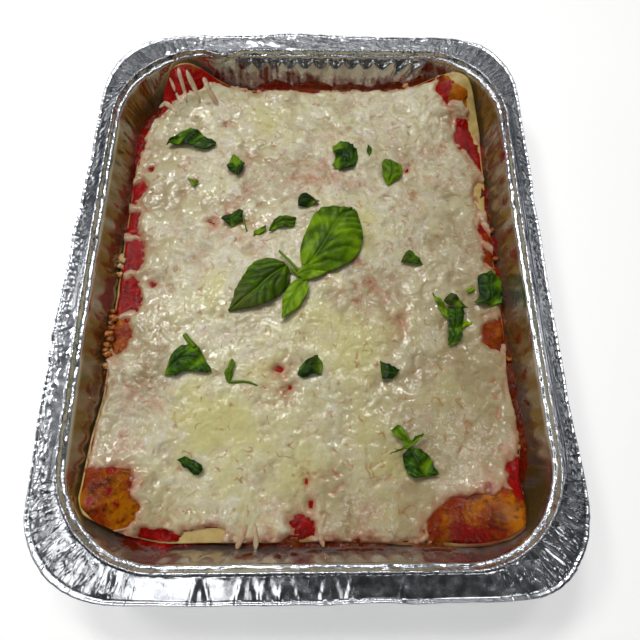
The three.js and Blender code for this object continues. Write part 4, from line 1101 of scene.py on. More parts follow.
# Basil. A leaf is a thin sheet on a grid: t from its stem to its tip and v from one edge to the other.
# Height = arch * (1 - 0.8 v^2) * sin(pi (0.15 + 0.7 t)) + quilted bulges between its side veins - a groove
# along its middle vein + ripples of its edge + a curl of its tip.
def leafParts(own, along, across):
    leaf = {**plainLeaf, **own}
    long = leaf["long"]
    t, v = np.linspace(0, 1, along + 1)[:, None], np.linspace(-1, 1, across + 1)[None, :]
    left, right = (
        np.interp(t, np.linspace(0, 1, len(leaf[side])), leaf[side])
        + leaf["ragged"] * softNoise(t * long / 1.6, row, leaf[seed])
        for side, row, seed in (("left", 0, "x"), ("right", 5, "y")))
    centre, half = (left + right) / 2, np.maximum(0.25, (left - right) / 2)
    px, py = long * (t - 0.5) + 0 * v, centre + half * v
    c, s = np.cos(np.radians(leaf["turn"])), np.sin(np.radians(leaf["turn"]))
    x, y = leaf["x"] + px * c - py * s, leaf["y"] + px * s + py * c
    fromRib = v - leaf["rib"] - leaf["ribBend"] * (t - 0.5)
    phase = (t - 1.1 * np.abs(fromRib) * half / long) * leaf["veins"] + 0.3 * (fromRib > 0)
    phase = phase + 0.38 * layeredNoise(px, py, 0.2 * long, leaf["x"], 2)
    quilt = np.abs(np.sin(np.pi * phase)) ** 0.6 * (1 - np.exp(-(fromRib / 0.18) ** 2))
    quilt = quilt * (0.8 + 0.45 * softNoise(px / 5.5, py / 5.5, leaf["y"]))
    bent = facetNoise(x / leaf["bendSize"], y / leaf["bendSize"], leaf["x"])
    level, smooth = foodLevel(x, y), sauceLevel(x, y) + 3.0
    z = np.maximum(smooth + 0.45 * (level - smooth), level - 0.1 * leaf["arch"]) + 0.35 + leaf["raise"]
    z = z + leaf["arch"] * (1 - 0.8 * v ** 2) * np.sin(np.pi * (0.15 + 0.7 * t))
    z = z + leaf["ripple"] * np.sin(2.6 * v + 5 * t + leaf["x"]) * (0.4 + 0.6 * np.abs(v))
    z = z + leaf["tip"] * t ** 2 + leaf["fold"] * smoothStep(v, 0.2, 1) + leaf["bend"] * (bent + 0.5)
    z = z + leaf["quilt"] * (quilt - 0.5) - leaf["groove"] * np.exp(-(fromRib * half / 0.55) ** 2)
    points = np.concatenate([np.stack([x, y, z + lift], -1).reshape(-1, 3) for lift in (leaf["thick"], 0)])
    loop = edgeLoop(*x.shape)
    rimQuads = np.stack([loop, loop + x.size, np.roll(loop, -1) + x.size, np.roll(loop, -1)], 1)
    faces = [gridQuads(*x.shape), gridQuads(*x.shape, x.size)[:, ::-1], rimQuads]
    tone = {
        "vein": np.exp(-(fromRib * half / 0.4) ** 2) * leaf["veined"],
        # dark: the leaf's own darker tone, plus painted shade in the grooves between bulges, along its
        # margins and on the higher facets of its bends
        "dark": np.clip(leaf["dark"] + 0.9 * (0.5 - quilt) + 0.3 * np.abs(v) ** 3 + 0.6 * bent, 0, 1),
        # fresh: the leaf's own fresher tone, plus a painted highlight on its bulges and on the lower facets
        # of its bends
        "freshAndHighlight": np.clip(leaf["freshAndHighlight"] * (0.3 + 0.9 * quilt) + 0.4 * smoothStep(-bent, 0.1, 0.7), 0, 1),
        "dull": np.clip(leaf["dull"] * smoothStep(t, 0.45, 0.8) + 0 * z, 0, 1),
    }
    return points, faces, {key: np.tile(value.ravel(), 2) for key, value in tone.items()}


# round stalk: a circle carried along a smooth path through a few places, closed at both ends
def stalkParts(places, radii, rings, sides=12):
    places = np.array(places, float)
    t = np.linspace(0, 1, rings)
    path = np.stack([np.interp(t, np.linspace(0, 1, len(places)), places[:, n]) for n in range(3)], 1)
    for _ in range(3):
        path[1:-1] = 0.25 * path[:-2] + 0.5 * path[1:-1] + 0.25 * path[2:]
    ahead = np.gradient(path, axis=0)
    ahead /= np.linalg.norm(ahead, axis=1, keepdims=True)
    side = np.cross(ahead, [0, 0, 1])
    side /= np.linalg.norm(side, axis=1, keepdims=True)
    above = np.cross(side, ahead)
    radius = np.interp(t, np.linspace(0, 1, len(radii)), radii)[:, None, None]
    angle = (np.arange(sides) * 2 * np.pi / sides)[None, :, None]
    tube = path[:, None] + radius * (np.cos(angle) * side[:, None] + np.sin(angle) * above[:, None])
    return np.concatenate([tube.reshape(-1, 3), path[:1], path[-1:]]), closedRings(rings, sides)


# several parts as one piece, their faces renumbered
def joinParts(parts):
    points, faces, tones = [], [], {}
    for part in parts:
        first = sum(map(len, points))
        points.append(part[0])
        faces += [group + first for group in part[1]]
        for key, value in part[2].items():
            tones.setdefault(key, []).append(np.broadcast_to(value, len(part[0])))
    return np.concatenate(points), faces, {key: np.concatenate(value) for key, value in tones.items()}


sprig = {
    "right": {"x": 11.8, "y": 24.6, "long": 48, "turn": 52, "arch": 4.4, "raise": 1.2, "veins": 6,
              "quilt": 1.9, "bend": 0.7, "bendSize": 9, "groove": 0.9, "dark": 0.22, "freshAndHighlight": 0.2,
              "veined": 0.6, "rib": 0.16, "ribBend": 0.1, "tip": -1.6,
              "left": [2.5, 8.5, 11.5, 13.5, 15.5, 17.6, 16.8, 12.6, 3.2],
              "right": [-3.0, -12.3, -16.3, -18.2, -18.9, -17.8, -15.0, -9.2, -1.5]},
    "left": {"x": -30.2, "y": -6.2, "long": 42, "turn": 221, "arch": 4.2, "raise": 1.0, "veins": 6,
             "quilt": 1.7, "bend": 0.5, "bendSize": 10, "groove": 0.8, "dark": 0.25, "freshAndHighlight": 0.15,
             "dull": 0.75, "veined": 0.7, "rib": 0.1, "tip": -1.4,
             "left": [4.0, 10.2, 11.6, 12.3, 12.0, 10.2, 7.6, 4.6, 1.6],
             "right": [-2.0, -9.6, -12.1, -12.2, -10.6, -8.4, -6.0, -2.4, 0.4]},
    "bottom": {"x": -9.9, "y": -13.7, "long": 26.5, "turn": 238, "arch": 1.6, "raise": 0.7, "veins": 4,
               "quilt": 0.5, "groove": 0.6, "dark": 0.0, "freshAndHighlight": 0.65, "veined": 0.8, "rib": -0.1,
               "fold": 1.2,
               "left": [2.0, 4.7, 5.6, 6.0, 5.9, 5.4, 4.6, 3.4, 1.8],
               "right": [-1.4, -5.0, -5.5, -5.8, -5.7, -4.8, -2.5, -0.4, 1.2]},
    "small": {"x": 0.7, "y": 3.2, "long": 17.5, "turn": 10, "arch": 1.8, "raise": 1.0, "veins": 3,
              "quilt": 0.5, "groove": 0.5, "dark": 0.05, "freshAndHighlight": 0.5, "veined": 0.7,
              "left": [-1.0, 2.6, 4.0, 4.8, 5.2, 5.0, 4.2, 1.6, -1.2],
              "right": [-3.0, -5.2, -5.3, -5.0, -5.0, -4.8, -4.2, -3.2, -2.2]},
    # the stalk between the leaves, and the short branch to the near ones: x, y, lift over the food
    "stem": [(-18, 15.5, 3.2), (-13, 10, 3.9), (-8, 4.5, 3.4), (-3.5, 0.6, 2.2)],
    "stemRadii": [0.7, 0.9, 1.0, 1.3],
    "hub": [(-12.5, 4.5, 2.2), (-9, 2.6, 3.0), (-5.5, -1, 3.0), (-4, -6, 2.2)],
    "hubRadii": [0.7, 1.0, 1.0, 0.6],
}


# places on the food from x, y and lift
def onFood(places):
    return [(x, y, foodLevel(np.array([float(x)]), np.array([float(y)]))[0] + lift) for x, y, lift in places]


# a stalk on the food with a leaf's tones
def greenStalk(places, radii, rings, sides, dark, freshAndHighlight):
    points, faces = stalkParts(onFood(places), radii, rings, sides)
    return points, faces, {"vein": 0, "dark": dark, "freshAndHighlight": freshAndHighlight, "dull": 0}


# four leaves, as grids of steps along and across, on one stalk
def buildSprig():
    grids = {"right": (72, 48), "left": (64, 40), "bottom": (40, 24), "small": (28, 20)}
    parts = [leafParts(sprig[name], *grid) for name, grid in grids.items()]
    parts += [greenStalk(sprig[name], sprig[name + "Radii"], 24, 12, 0.4, 0.35) for name in ("stem", "hub")]
    points, faces, tones = joinParts(parts)
    return makePiece("basil_top_sprig", points, faces, basil, tones)


sprigPiece = buildSprig()
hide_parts("basil_sprig")


# Juice and sauce that has run between the food and the pan. Its section runs from inside the food's edge
# across the gap to the wall, as a hollow curve between two heights, and back below.
runOff = {
    "deep": 5.5,                    # how far it lies below the food's top where nothing has boiled up
    "thick": 3,
    "hollow": 0.7,
    "highestFood": 35.0,            # raised corners of the food count no higher than this
    # boiled up: x, y, spread, height over the food's top, baked share, burnt share
    "boiled": [(-45, 145, 3.5, 5.5, 0.9, 0.3), (-25, 144, 8, 6.0, 0.4, 0.6), (0, 144, 12, 4.6, 0.6, 0.6),
               (25, 144, 12, 3.6, 0.7, 0.8), (50, 144, 12, 4.2, 0.7, 0.8), (74, 144, 8, 5.5, 0.7, 0.6),
               (-64, 143, 7, 2.5, 0.4, 0.2), (-115, 92, 13, 2.0, 0.0, 0.1), (-116, 60, 9, 1.2, 0.1, 0.3),
               (-115, 36, 9, 0.6, 0.2, 0.4), (-115, 10, 7, 0.0, 0.6, 0.4), (-114, -30, 12, -0.5, 0.8, 0.5),
               (-113, -58, 14, -0.5, 0.7, 0.8), (-113, -84, 14, -0.5, 0.6, 0.9),
               (-110, -112, 12, -1.0, 0.5, 0.9), (115, 86, 8, 0.4, 0.3, 0.4), (115, 59, 5, 3.0, 0.2, 0.8),
               (115, 45, 5, 3.0, 0.3, 0.7), (115, 24, 7, 4.0, 0.2, 0.6), (114, 6, 6, 2.0, 0.4, 0.5),
               (113, -22, 7, 0.4, 0.8, 0.4), (112, -42, 7, 2.0, 0.6, 0.9), (112, -60, 8, 2.4, 0.6, 0.9),
               (111, -76, 7, 1.5, 0.6, 0.9), (111, -92, 8, 0.0, 0.5, 0.7), (-28, -143, 6, 0.8, 0.8, 0.9),
               (-12, -143, 6, 1.6, 0.8, 0.9), (4, -143, 6, 0.6, 0.9, 0.8), (24, -143, 12, 0.2, 0.9, 0.8),
               (55, -143, 16, 0.0, 0.9, 0.8), (84, -142, 10, -1.0, 0.7, 0.8), (-90, -139, 8, 0.4, 0.0, 0.1),
               (-76, -143, 8, 0.4, 0.0, 0.2), (-62, -143, 6, -1.5, 0.0, 0.6)],
}


# height across the gap, t = 0 at the food and 1 at the wall: food + (wall - food) t^2 - hollow sin(pi t)
def buildRunOff():
    rim = walkRim(200, 60, 150)
    edgeX, edgeY = foodOutline(rim, 0.0)
    top = np.minimum(stackTop(edgeX, edgeY), runOff["highestFood"])
    deep, flat = runOff["deep"], 0 * top
    climb, baked, burnt = flat - deep, flat + 0.5, flat + 0.6
    for cx, cy, spread, rise, bakedShare, burntShare in runOff["boiled"]:
        near = roundSpot(edgeX, edgeY, cx, cy, spread)
        climb = np.maximum(climb, (rise + deep) * near ** 0.5 - deep)
        baked = baked + (bakedShare - baked) * near
        burnt = burnt + (burntShare - burnt) * near
    climb = climb + 0.7 * layeredNoise(rim["gone"], 0, 6, 91)
    wallZ, foodZ = top + climb, top + np.minimum(0.9, climb + 0.5)
    foodInset = drawnBack(edgeX, edgeY) + wallInset(foodZ) + foilPan["fluteDepth"] + 2.6
    wallSide = wallInset(wallZ) + wallShape(rim, wallZ) - 0.3 + 0.9 * smoothStep(rim["ny"], 0.85, 1)
    rows = []
    for t in np.linspace(0, 1, 9):
        inset = foodInset + (wallSide - foodInset) * t
        bulge = 0.35 * layeredNoise(rim["gone"], inset, 3, 92) - runOff["hollow"]
        rows.append((*stepIn(rim, inset), foodZ + (wallZ - foodZ) * t ** 2 + bulge * np.sin(np.pi * t)))
    lowZ, floorZ = wallZ - runOff["thick"], np.minimum(foodZ, wallZ) - runOff["thick"]
    lowWall = np.maximum(wallSide + 0.5, wallInset(lowZ) + wallShape(rim, lowZ) - 0.2)
    rows += [(*stepIn(rim, inset), floorZ) for inset in (lowWall, foodInset)]
    points = np.concatenate([np.stack(row, 1) for row in rows])
    faces = [gridQuads(len(rows), len(flat), wrapped=True, ringed=True)]
    values = {"baked": np.tile(baked, len(rows)), "char": np.tile(burnt, len(rows)), "gold": 0}
    return makePiece("sauce_run_off", points, faces, sauce, values)


runOffPiece = buildRunOff()


# Soft ends of shreds that hang over the corners and the edge: rounded strands along a bent path on the food.
hangingShreds = {
    "flatten": 0.4,                 # how much of their height over the food they keep
    # places x, y, lift, then radius
    "strands": [([(-85, 138, 0.1), (-84, 134, 0.8), (-82, 128, 0.7), (-80, 120, -0.5)], 1.3),
                ([(-80, 137, 0.1), (-78, 133, 0.8), (-75, 128, 0.6), (-72, 121, -0.5)], 1.6),
                ([(-70, 137, 0.1), (-68, 132, 0.8), (-65, 127, 0.6), (-61, 121, -0.5)], 1.6),
                ([(-91, 134, 0.1), (-89, 130, 0.7), (-87, 126, 0.5), (-84, 119, -0.4)], 1.0),
                ([(-99, 120, 0.2), (-95, 122, 0.6), (-91, 119, 0.4), (-87, 114, -0.3)], 1.5),
                ([(-37, -141.5, -1.2), (-35, -137, 0.1), (-32, -130, -1.0)], 1.6),
                ([(-28, -142, -1.2), (-27.5, -137, 0.0), (-29, -130, -1.0)], 1.3),
                ([(5, -141, -1.0), (3, -134, 0.2), (7, -125, -0.9)], 1.3)],
}


# radius (1 - t^6)^0.5 along a strand, t from -1 to 1, with a slow waver
def buildHangingShreds():
    parts = []
    for path, radius in hangingShreds["strands"]:
        t = np.linspace(-0.97, 0.97, 9)
        radii = radius * (1 - t ** 6) ** 0.5 * (1 + 0.12 * np.sin(5 * t + path[0][0]))
        points, faces = stalkParts(onFood(path), radii, 30)
        level = foodLevel(points[:, 0], points[:, 1])
        points[:, 2] = level + hangingShreds["flatten"] * (points[:, 2] - level)
        rose = 0.5 + 0.3 * softNoise(points[:, 0] / 3, points[:, 1] / 3, 93)
        parts.append((points, faces, {"toast": 0.1, "rose": rose, "butter": 0, "thin": 0.5, "wet": 0.4}))
    points, faces, tones = joinParts(parts)
    return makePiece("cheese_strands", points, faces, cheese, tones)


# crumbs of baked crust: balls with a wavering radius, r (1 + uneven * noise), sunk into the run-off
crumbs = {
    "rings": 12,
    "sides": 22,
    "uneven": 0.35,
    "highestFood": 36.0,
    # x, y, height over the food's top, radius, how brown
    "places": [(-112, 12, 0.6, 2.0, 0.1), (-113, 8, 0.2, 1.6, 0.1), (-111, 15, 0.4, 1.4, 0.0),
               (-112.5, 3, 0.0, 1.5, 0.3), (-112, -24, 0.8, 2.2, 0.7), (-114, -20, 0.2, 1.5, 0.8),
               (-110, -29, 0.6, 1.8, 0.5), (-115, -27, 0.0, 1.4, 0.9), (-117, -34, 0.3, 2.0, 0.6),
               (-113, -36, 0.6, 2.3, 0.9), (-116, -40, 0.6, 1.7, 0.7), (-111, -43, 0.4, 2.0, 0.4),
               (-115, -45, 0.2, 2.2, 0.6), (-118, -43, 0.3, 1.4, 0.8), (-112, -51, 0.0, 1.5, 0.3),
               (111, 33, 0.6, 1.6, 0.9), (112, 14, 0.3, 1.5, 0.8), (111, -47, 0.4, 1.6, 0.9),
               (62, 142, 1.4, 2.0, 0.5), (80, 141, 2.4, 1.7, 0.4)],
}


# one ball, kept inside the wall and lifted by half of what that moves it
def crumbParts(x, y, lift, radius, brown, seed):
    along = np.linspace(0, np.pi, crumbs["rings"] + 2)[1:-1, None]
    around = np.arange(crumbs["sides"])[None] * 2 * np.pi / crumbs["sides"]
    wide, high = np.sin(along), np.cos(along) + 0 * around
    out = np.stack([wide * np.cos(around), wide * np.sin(around), high], -1)
    noise = softNoise(out[..., 0] * 1.7 + seed, out[..., 1] * 1.7 + out[..., 2] * 2.3, seed)
    reach = 1 + crumbs["uneven"] * noise
    level = min(stackTop(x, y), crumbs["highestFood"]) + lift
    room = wallInset(level) + 1.35 * radius - 0.6
    inX, inY = min(abs(x), dish["halfWidth"] - room), min(abs(y), dish["halfLength"] - room)
    level = level + 0.5 * (abs(x) - inX + abs(y) - inY)
    middle = np.array([np.copysign(inX, x), np.copysign(inY, y), level])
    ball = middle + radius * reach[..., None] * out * [1.15, 1, 0.75]
    ends = [middle + [0, 0, 0.7 * radius], middle - [0, 0, 0.7 * radius]]
    faces = closedRings(crumbs["rings"], crumbs["sides"])
    return np.concatenate([ball.reshape(-1, 3), ends]), faces, {"brown": brown}


def buildCrumbs():
    parts = [crumbParts(*place, 100 + k) for k, place in enumerate(crumbs["places"])]
    points, faces, tones = joinParts(parts)
    return makePiece("crust_crumbs", points, faces, crust, tones)


buildHangingShreds()
buildCrumbs()


# what all torn leaves have, and from which length on they get the finer grid
tornLook = {"ragged": 0.45, "bend": 1.9, "bendSize": 5.2}
fineFrom = 12
# torn pieces of leaf: place, length, turn, and how far the left and the right edge stand off the middle line
tornLeaves = {
    "basil_01": {"x": -74.5, "y": 95.4, "long": 29.9, "turn": 170, "dark": 0.35, "veins": 4, "quilt": 0.6,
                 "fold": 0.8,
                 "left": [3.1, 7.3, 7.9, 7.4, 6.1, 5.7, 6.4, 7.3, 8.1],
                 "right": [0.8, -0.3, -2.2, -4.1, -6.3, -7.5, -5.3, -1.5, 7.0]},
    "basil_02": {"x": -46.6, "y": 75.4, "long": 14.4, "turn": 136, "dark": 0.5,
                 "left": [4.3, 5.3, 5.1, 5.3, 5.5, 5.4, 4.3, 0.8, -3.6],
                 "right": [3.1, -0.6, -4.2, -5.0, -5.0, -5.1, -5.3, -5.3, -4.5]},
    "basil_03": {"x": -72.6, "y": 62.5, "long": 7.2, "turn": 164, "freshAndHighlight": 0.3,
                 "left": [-2.0, 0.4, 2.1, 1.3, 0.6, -0.1, -0.8, -1.5, -2.0],
                 "right": [-2.3, -2.3, -2.3, -2.3, -2.3, -2.3, -2.3, -2.3, -2.3]},
    "basil_04": {"x": -45.2, "y": 38.0, "long": 13.3, "turn": 36, "dark": 0.4,
                 "left": [3.8, 3.7, 3.7, 3.6, 3.6, 3.5, 3.5, 3.4, 1.1],
                 "right": [3.2, -2.8, -3.8, -3.7, -3.7, -3.7, -3.6, -1.8, 0.3]},
    "basil_05": {"x": -29.8, "y": 29.3, "long": 9.3, "turn": 28, "dark": 0.35, "freshAndHighlight": 0.2,
                 "left": [-0.8, 1.2, 1.6, 1.6, 1.6, 1.6, 1.6, 1.6, 1.6],
                 "right": [-1.2, -1.3, -1.4, -1.5, -1.6, -1.4, -1.2, -1.0, 1.2]},
    "basil_06": {"x": -16.7, "y": 34.4, "long": 17.3, "turn": 14, "dark": 0.35, "fold": 0.8, "freshAndHighlight": 0.15,
                 "left": [-3.3, -0.2, 1.7, 3.0, 3.6, 2.8, 1.9, 1.1, 0.4],
                 "right": [-3.8, -3.2, -2.6, -2.3, -3.1, -3.9, -3.7, -2.9, -0.2]},
    "basil_07": {"x": -2.1, "y": 50.4, "long": 12.9, "turn": 202, "dark": 1.0, "veined": 0.2,
                 "left": [4.2, 4.1, 4.0, 4.0, 4.2, 4.3, 4.0, 2.9, 1.9],
                 "right": [3.8, 1.7, -0.7, -3.1, -4.4, -4.4, -4.0, -2.4, 1.0]},
    "basil_08": {"x": 19.8, "y": 81.8, "long": 19.8, "turn": 134, "dark": 0.45, "quilt": 0.6, "arch": 1.4,
                 "fold": 0.7,
                 "left": [0.4, 6.0, 8.1, 8.8, 9.3, 4.2, 1.9, 1.4, 0.0],
                 "right": [-1.1, -5.9, -8.2, -9.8, -9.8, -9.9, -9.5, -8.8, -7.6]},
    "basil_09": {"x": 36.5, "y": 86.4, "long": 7.3, "turn": 256, "dark": 0.2,
                 "left": [-1.4, -0.6, 0.6, 1.8, 1.5, 1.3, 1.1, 0.9, 0.7],
                 "right": [-1.8, -1.7, -1.7, -1.7, -1.7, -1.5, -0.8, -0.2, 0.3]},
    "basil_10": {"x": 50.4, "y": 70.5, "long": 16.9, "turn": 86, "dark": 0.1, "freshAndHighlight": 0.35, "arch": 1.5,
                 "quilt": 0.6,
                 "left": [3.1, 4.3, 5.4, 5.8, 6.1, 6.3, 6.4, 6.4, 5.2],
                 "right": [1.8, -0.8, -3.8, -5.0, -5.8, -6.4, -6.4, -5.8, 1.6]},
    "basil_11": {"x": 59.4, "y": 12.1, "long": 12.9, "turn": 170, "dark": 0.2, "freshAndHighlight": 0.1, "dull": 0.3,
                 "left": [2.9, 3.1, 3.4, 3.7, 3.9, 3.9, 3.9, 3.9, 3.9],
                 "right": [2.5, 1.1, -0.5, -2.2, -3.9, -3.9, -3.8, -2.2, 3.3]},
    "basil_12": {"x": 81.8, "y": -15.8, "long": 13.8, "turn": 156, "dark": 0.9, "dull": 0.5, "raise": 3.0,
                 "arch": 0.8,
                 "left": [1.1, 2.0, 2.1, 2.3, 2.7, 3.2, 3.4, 3.4, 3.4],
                 "right": [0.6, 0.1, -0.7, -1.5, -2.3, -3.1, -3.3, -3.0, 2.3]},
    "basil_13": {"x": 80.2, "y": -29.9, "long": 22.4, "turn": 82, "dark": 0.45, "raise": 1.2, "arch": 0.6,
                 "veins": 5,
                 "left": [3.7, 3.7, 3.7, 3.7, 3.8, 3.9, 4.1, 4.2, 4.3],
                 "right": [2.2, -2.4, -3.9, -3.8, -3.8, -3.8, -4.0, -4.2, -4.3]},
    "basil_14": {"x": 73.7, "y": -17.2, "long": 17.7, "turn": 116, "dark": 0.2, "freshAndHighlight": 0.3, "arch": 0.6,
                 "left": [1.0, 1.3, 1.6, 1.9, 1.7, 1.4, 1.1, 0.9, 0.6],
                 "right": [0.7, -0.4, -1.7, -1.9, -1.9, -1.8, -1.7, -0.5, 0.3]},
    "basil_15": {"x": 87.2, "y": -27.3, "long": 7.0, "turn": 8, "dark": 0.0, "freshAndHighlight": 0.8, "arch": 0.5,
                 "left": [2.7, 2.4, 2.1, 1.7, 1.4, 1.0, 0.7, 0.4, 0.2],
                 "right": [-2.7, -2.5, -2.2, -1.9, -1.5, -1.2, -0.8, -0.5, -0.2]},
    "basil_16": {"x": 91.5, "y": -7.3, "long": 5.0, "turn": 48, "dark": 0.0, "freshAndHighlight": 0.8, "arch": 0.5,
                 "left": [1.6, 1.6, 1.6, 1.6, 1.6, 1.6, 1.6, 1.0, -1.0],
                 "right": [0.9, -0.8, -0.9, -1.0, -1.1, -1.3, -1.4, -1.5, -1.6]},
    "basil_17": {"x": 102.3, "y": -6.4, "long": 21.7, "turn": 74, "dark": 0.4, "arch": 2.2, "quilt": 0.8,
                 "veins": 4,
                 "left": [7.0, 5.7, 5.0, 6.0, 6.9, 7.6, 7.4, 3.6, 1.1],
                 "right": [-2.7, -7.9, -7.9, -7.8, -7.2, -6.6, -5.9, -4.0, 0.2]},
    "basil_18": {"x": -66.0, "y": -48.3, "long": 25.1, "turn": 4, "dark": 0.3, "arch": 1.8, "quilt": 0.8,
                 "veins": 5,
                 "left": [-6.0, 0.2, 5.9, 7.8, 8.2, 7.9, 6.4, -1.4, -6.0],
                 "right": [-7.2, -7.7, -8.2, -6.7, -6.5, -6.6, -7.2, -7.9, -8.0]},
    "basil_19": {"x": -43.5, "y": -54.5, "long": 13.1, "turn": 76, "dark": 0.1, "freshAndHighlight": 0.3,
                 "left": [-1.6, 0.2, 1.2, 2.0, 1.7, 1.4, 1.1, 0.7, 0.2],
                 "right": [-2.1, -2.0, -2.0, -2.0, -2.0, -1.9, -1.9, -1.9, -0.7]},
    "basil_20": {"x": -0.5, "y": -52.4, "long": 14.3, "turn": 10, "dark": 0.6, "dull": 0.4, "fold": 0.6,
                 "left": [-2.6, 0.7, 2.2, 3.7, 4.3, 4.7, 5.0, 5.3, 0.7],
                 "right": [-3.5, -5.1, -5.1, -4.9, -4.8, -4.7, -5.0, -4.9, -0.2]},
    "basil_21": {"x": 41.0, "y": -55.5, "long": 11.4, "turn": 156, "dark": 0.5, "dull": 0.2,
                 "left": [-3.2, 1.0, 3.0, 3.4, 3.8, 4.3, 1.8, -1.3, -3.8],
                 "right": [-4.2, -4.2, -4.2, -4.3, -4.3, -4.3, -4.3, -4.3, -4.3]},
    "basil_22": {"x": -60.3, "y": -102.1, "long": 13.1, "turn": 140, "dark": 0.4, "arch": 1.4,
                 "left": [1.5, 3.5, 3.3, 3.2, 3.2, 3.3, 3.3, 3.4, 3.4],
                 "right": [-1.3, -3.4, -2.9, -2.4, -2.0, -1.5, -1.0, -0.6, 2.7]},
    "basil_23": {"x": 54.0, "y": -102.3, "long": 16.2, "turn": 106, "dark": 0.35, "arch": 2.0, "quilt": 0.7,
                 "veins": 4,
                 "left": [-5.8, 5.1, 7.3, 7.3, 7.4, 7.5, 7.2, 6.5, 2.6],
                 "right": [-7.5, -7.2, -7.0, -7.0, -7.4, -6.2, -5.0, -3.8, 1.0]},
    "basil_24": {"x": 47.0, "y": -89.2, "long": 12.5, "turn": 130, "dark": 0.1, "freshAndHighlight": 0.35, "raise": 2.0,
                 "arch": 0.6,
                 "left": [-0.3, 2.6, 2.6, 2.6, 2.6, 2.7, 2.7, 2.7, 2.7],
                 "right": [-1.2, -1.4, -1.6, -1.8, -2.1, -2.3, -2.6, -2.6, -1.5]},
    "basil_25": {"x": 48.9, "y": -93.9, "long": 20.5, "turn": 212, "dark": 0.3, "raise": 3.6, "arch": 0.4,
                 "left": [0.1, 0.6, 1.0, 1.5, 1.4, 0.6, -0.2, -1.0, -1.5],
                 "right": [-0.5, -1.6, -1.4, -1.3, -1.2, -1.1, -1.1, -1.4, -1.8]},
}
# stems of torn leaves: places x, y, lift, then radii
tornStems = {
    "basil_04": ([(-40, 38, 1.0), (-39, 33.6, 1.2), (-37.5, 29.5, 0.6)],
                 [0.6, 0.5, 0.4]),
    "basil_18": ([(-68.5, -34.5, 1.6), (-66.5, -37.2, 1.8), (-62.5, -41.5, 1.6)],
                 [1.4, 1.3, 1.5]),
    "basil_19": ([(-43, -60.6, 0.8), (-37.5, -60, 0.9), (-33, -60.4, 0.9), (-28.5, -62.4, 0.6)],
                 [0.7, 0.6, 0.6, 0.4]),
}


# each torn leaf with its stem, the longer ones on finer grids
def buildTornLeaves():
    for name, leaf in tornLeaves.items():
        grid = (36, 24) if leaf["long"] > fineFrom else (22, 16)
        parts = [leafParts({**tornLook, **leaf}, *grid)]
        if name in tornStems:
            parts.append(greenStalk(*tornStems[name], 14, 8, 0.3, 0.3))
        points, faces, tones = joinParts(parts)
        piece = makePiece("torn_" + name, points, faces, basil, tones)
        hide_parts(name)


buildTornLeaves()


# Stage: a pale floor, soft lights and a camera where the photograph was taken.
studio = {
    "eye": (-0.765, -114.283, 295.579),      # mm, over the middle of the rim
    "pitch": 1.23972465,                     # radians
    "yaw": 0.0506473590,
    "roll": 0.0474155215,
    "lens": 27.63,
    "sensor": 36,
    "floor": colour(246, 246, 244),
    "floorGlow": 0.35,
    # place, width, depth, radiance
    "lights": [((-0.38, -0.34, 0.90), 0.52, 0.30, 2.0), ((-0.22, 0.50, 1.05), 0.20, 0.17, 30.0),
               ((-0.50, 0.25, 0.95), 0.17, 0.14, 30.0), ((0.12, 0.36, 1.12), 0.14, 0.12, 30.0),
               ((0.10, 0.60, 1.15), 0.90, 0.50, 0.7), ((0.42, -0.80, 0.85), 0.50, 0.10, 4.8),
               ((-0.95, 0.10, 0.48), 0.55, 0.12, 3.6), ((0.95, 0.25, 0.52), 0.60, 0.10, 0.9),
               ((0.05, 1.05, 0.80), 1.10, 0.06, 1.5), ((0.0, 1.20, 0.32), 1.90, 0.16, 0.55)],
    # sine of the height over the horizon, and the air's colour there
    "air": [(0.0, (0.02, 0.022, 0.03)), (0.2, (0.03, 0.035, 0.045)), (0.45, (0.12, 0.125, 0.13)),
            (0.8, (0.15, 0.15, 0.15)), (1.0, (0.03, 0.03, 0.034))],
}


# turns a light or camera by its own right, upward and backward directions
def placeHolder(name, data, place, right, up, back):
    holder = bpy.data.objects.new(name, data)
    turn = Matrix(np.stack([right, up, back], 1).tolist()).to_4x4()
    holder.matrix_world = Matrix.Translation(place) @ turn
    bpy.context.scene.collection.objects.link(holder)
    return holder


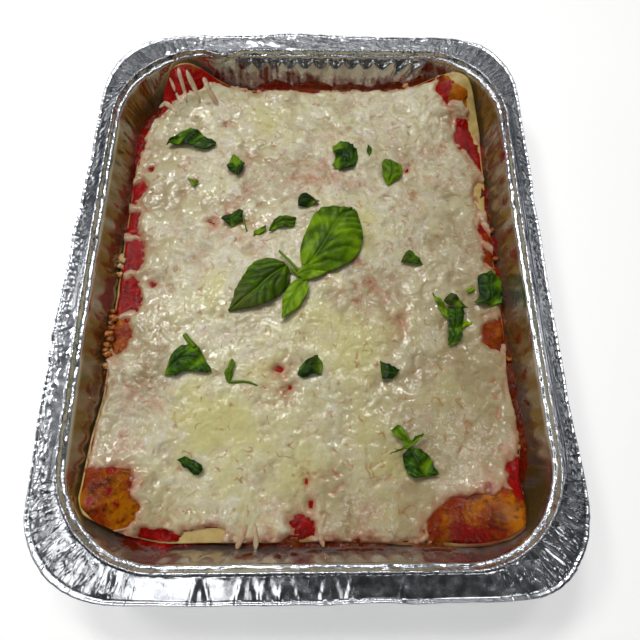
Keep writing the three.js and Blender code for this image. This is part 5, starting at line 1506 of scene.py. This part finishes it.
def addAir():
    world = bpy.data.worlds.new("studio_air")
    world.use_nodes = True
    tree, background = world.node_tree, world.node_tree.nodes["Background"]
    place = addNode(tree, "ShaderNodeTexCoord").outputs["Generated"]
    ahead = addNode(tree, "ShaderNodeSeparateXYZ", None, {"Vector": place})
    ramp = addNode(tree, "ShaderNodeValToRGB", None, {"Fac": ahead.outputs["Z"]})
    points = ramp.color_ramp.elements
    for k, (sine, tone) in enumerate(studio["air"]):
        point = points[k] if k < 2 else points.new(sine)
        point.position, point.color = sine, (*tone, 1)
    feed(tree, background, {"Color": ramp.outputs["Color"],
                            "Strength": remap(tree, ahead.outputs["Y"], -0.3, 0.2, 0.3, 1.0)})
    bpy.context.scene.world = world


def buildStage():
    floor = bpy.data.meshes.new("studio_floor")
    floor.from_pydata([(-3, -3, 0), (3, -3, 0), (3, 3, 0), (-3, 3, 0)], [], [(0, 1, 2, 3)])
    floor.materials.append(startFinish("floor_paint", {
        "Roughness": 0.8, "Base Color": studio["floor"], "Emission Color": (1, 1, 1, 1),
        "Emission Strength": studio["floorGlow"]})[0])
    floorPiece = bpy.data.objects.new("studio_floor", floor)
    floorPiece.location.z = -0.5 * mm       # just under the dish
    bpy.context.scene.collection.objects.link(floorPiece)
    for k, (place, wide, deep, radiance) in enumerate(studio["lights"]):
        lamp = bpy.data.lights.new("soft_light_%d" % k, "AREA")
        lamp.shape, lamp.size, lamp.size_y = "RECTANGLE", wide, deep
        lamp.energy = radiance * np.pi * wide * deep
        back = np.array(place) / np.linalg.norm(place)
        side = np.cross([0, 0, 1], back)
        side /= np.linalg.norm(side)
        placeHolder("soft_light_%d" % k, lamp, place, side, np.cross(back, side), back)
    addAir()
    bpy.context.scene.view_settings.view_transform = "Standard"


def buildCamera():
    pitch, yaw, roll = studio["pitch"], studio["yaw"], studio["roll"]
    ahead = np.array([np.sin(yaw) * np.cos(pitch), np.cos(yaw) * np.cos(pitch), -np.sin(pitch)])
    side = np.array([np.cos(yaw), -np.sin(yaw), 0])
    above = np.cross(side, ahead)
    camera = bpy.data.cameras.new("photo_view")
    camera.lens, camera.sensor_width = studio["lens"], studio["sensor"]
    camera.clip_start = 0.01
    eye = (np.array(studio["eye"]) + [middleX, middleY, 0]) * mm
    right, up = np.cos(roll) * side + np.sin(roll) * above, np.cos(roll) * above - np.sin(roll) * side
    bpy.context.scene.camera = placeHolder("photo_view", camera, eye, right, up, -ahead)


buildStage()
buildCamera()
print("lasagna: stage and camera set")
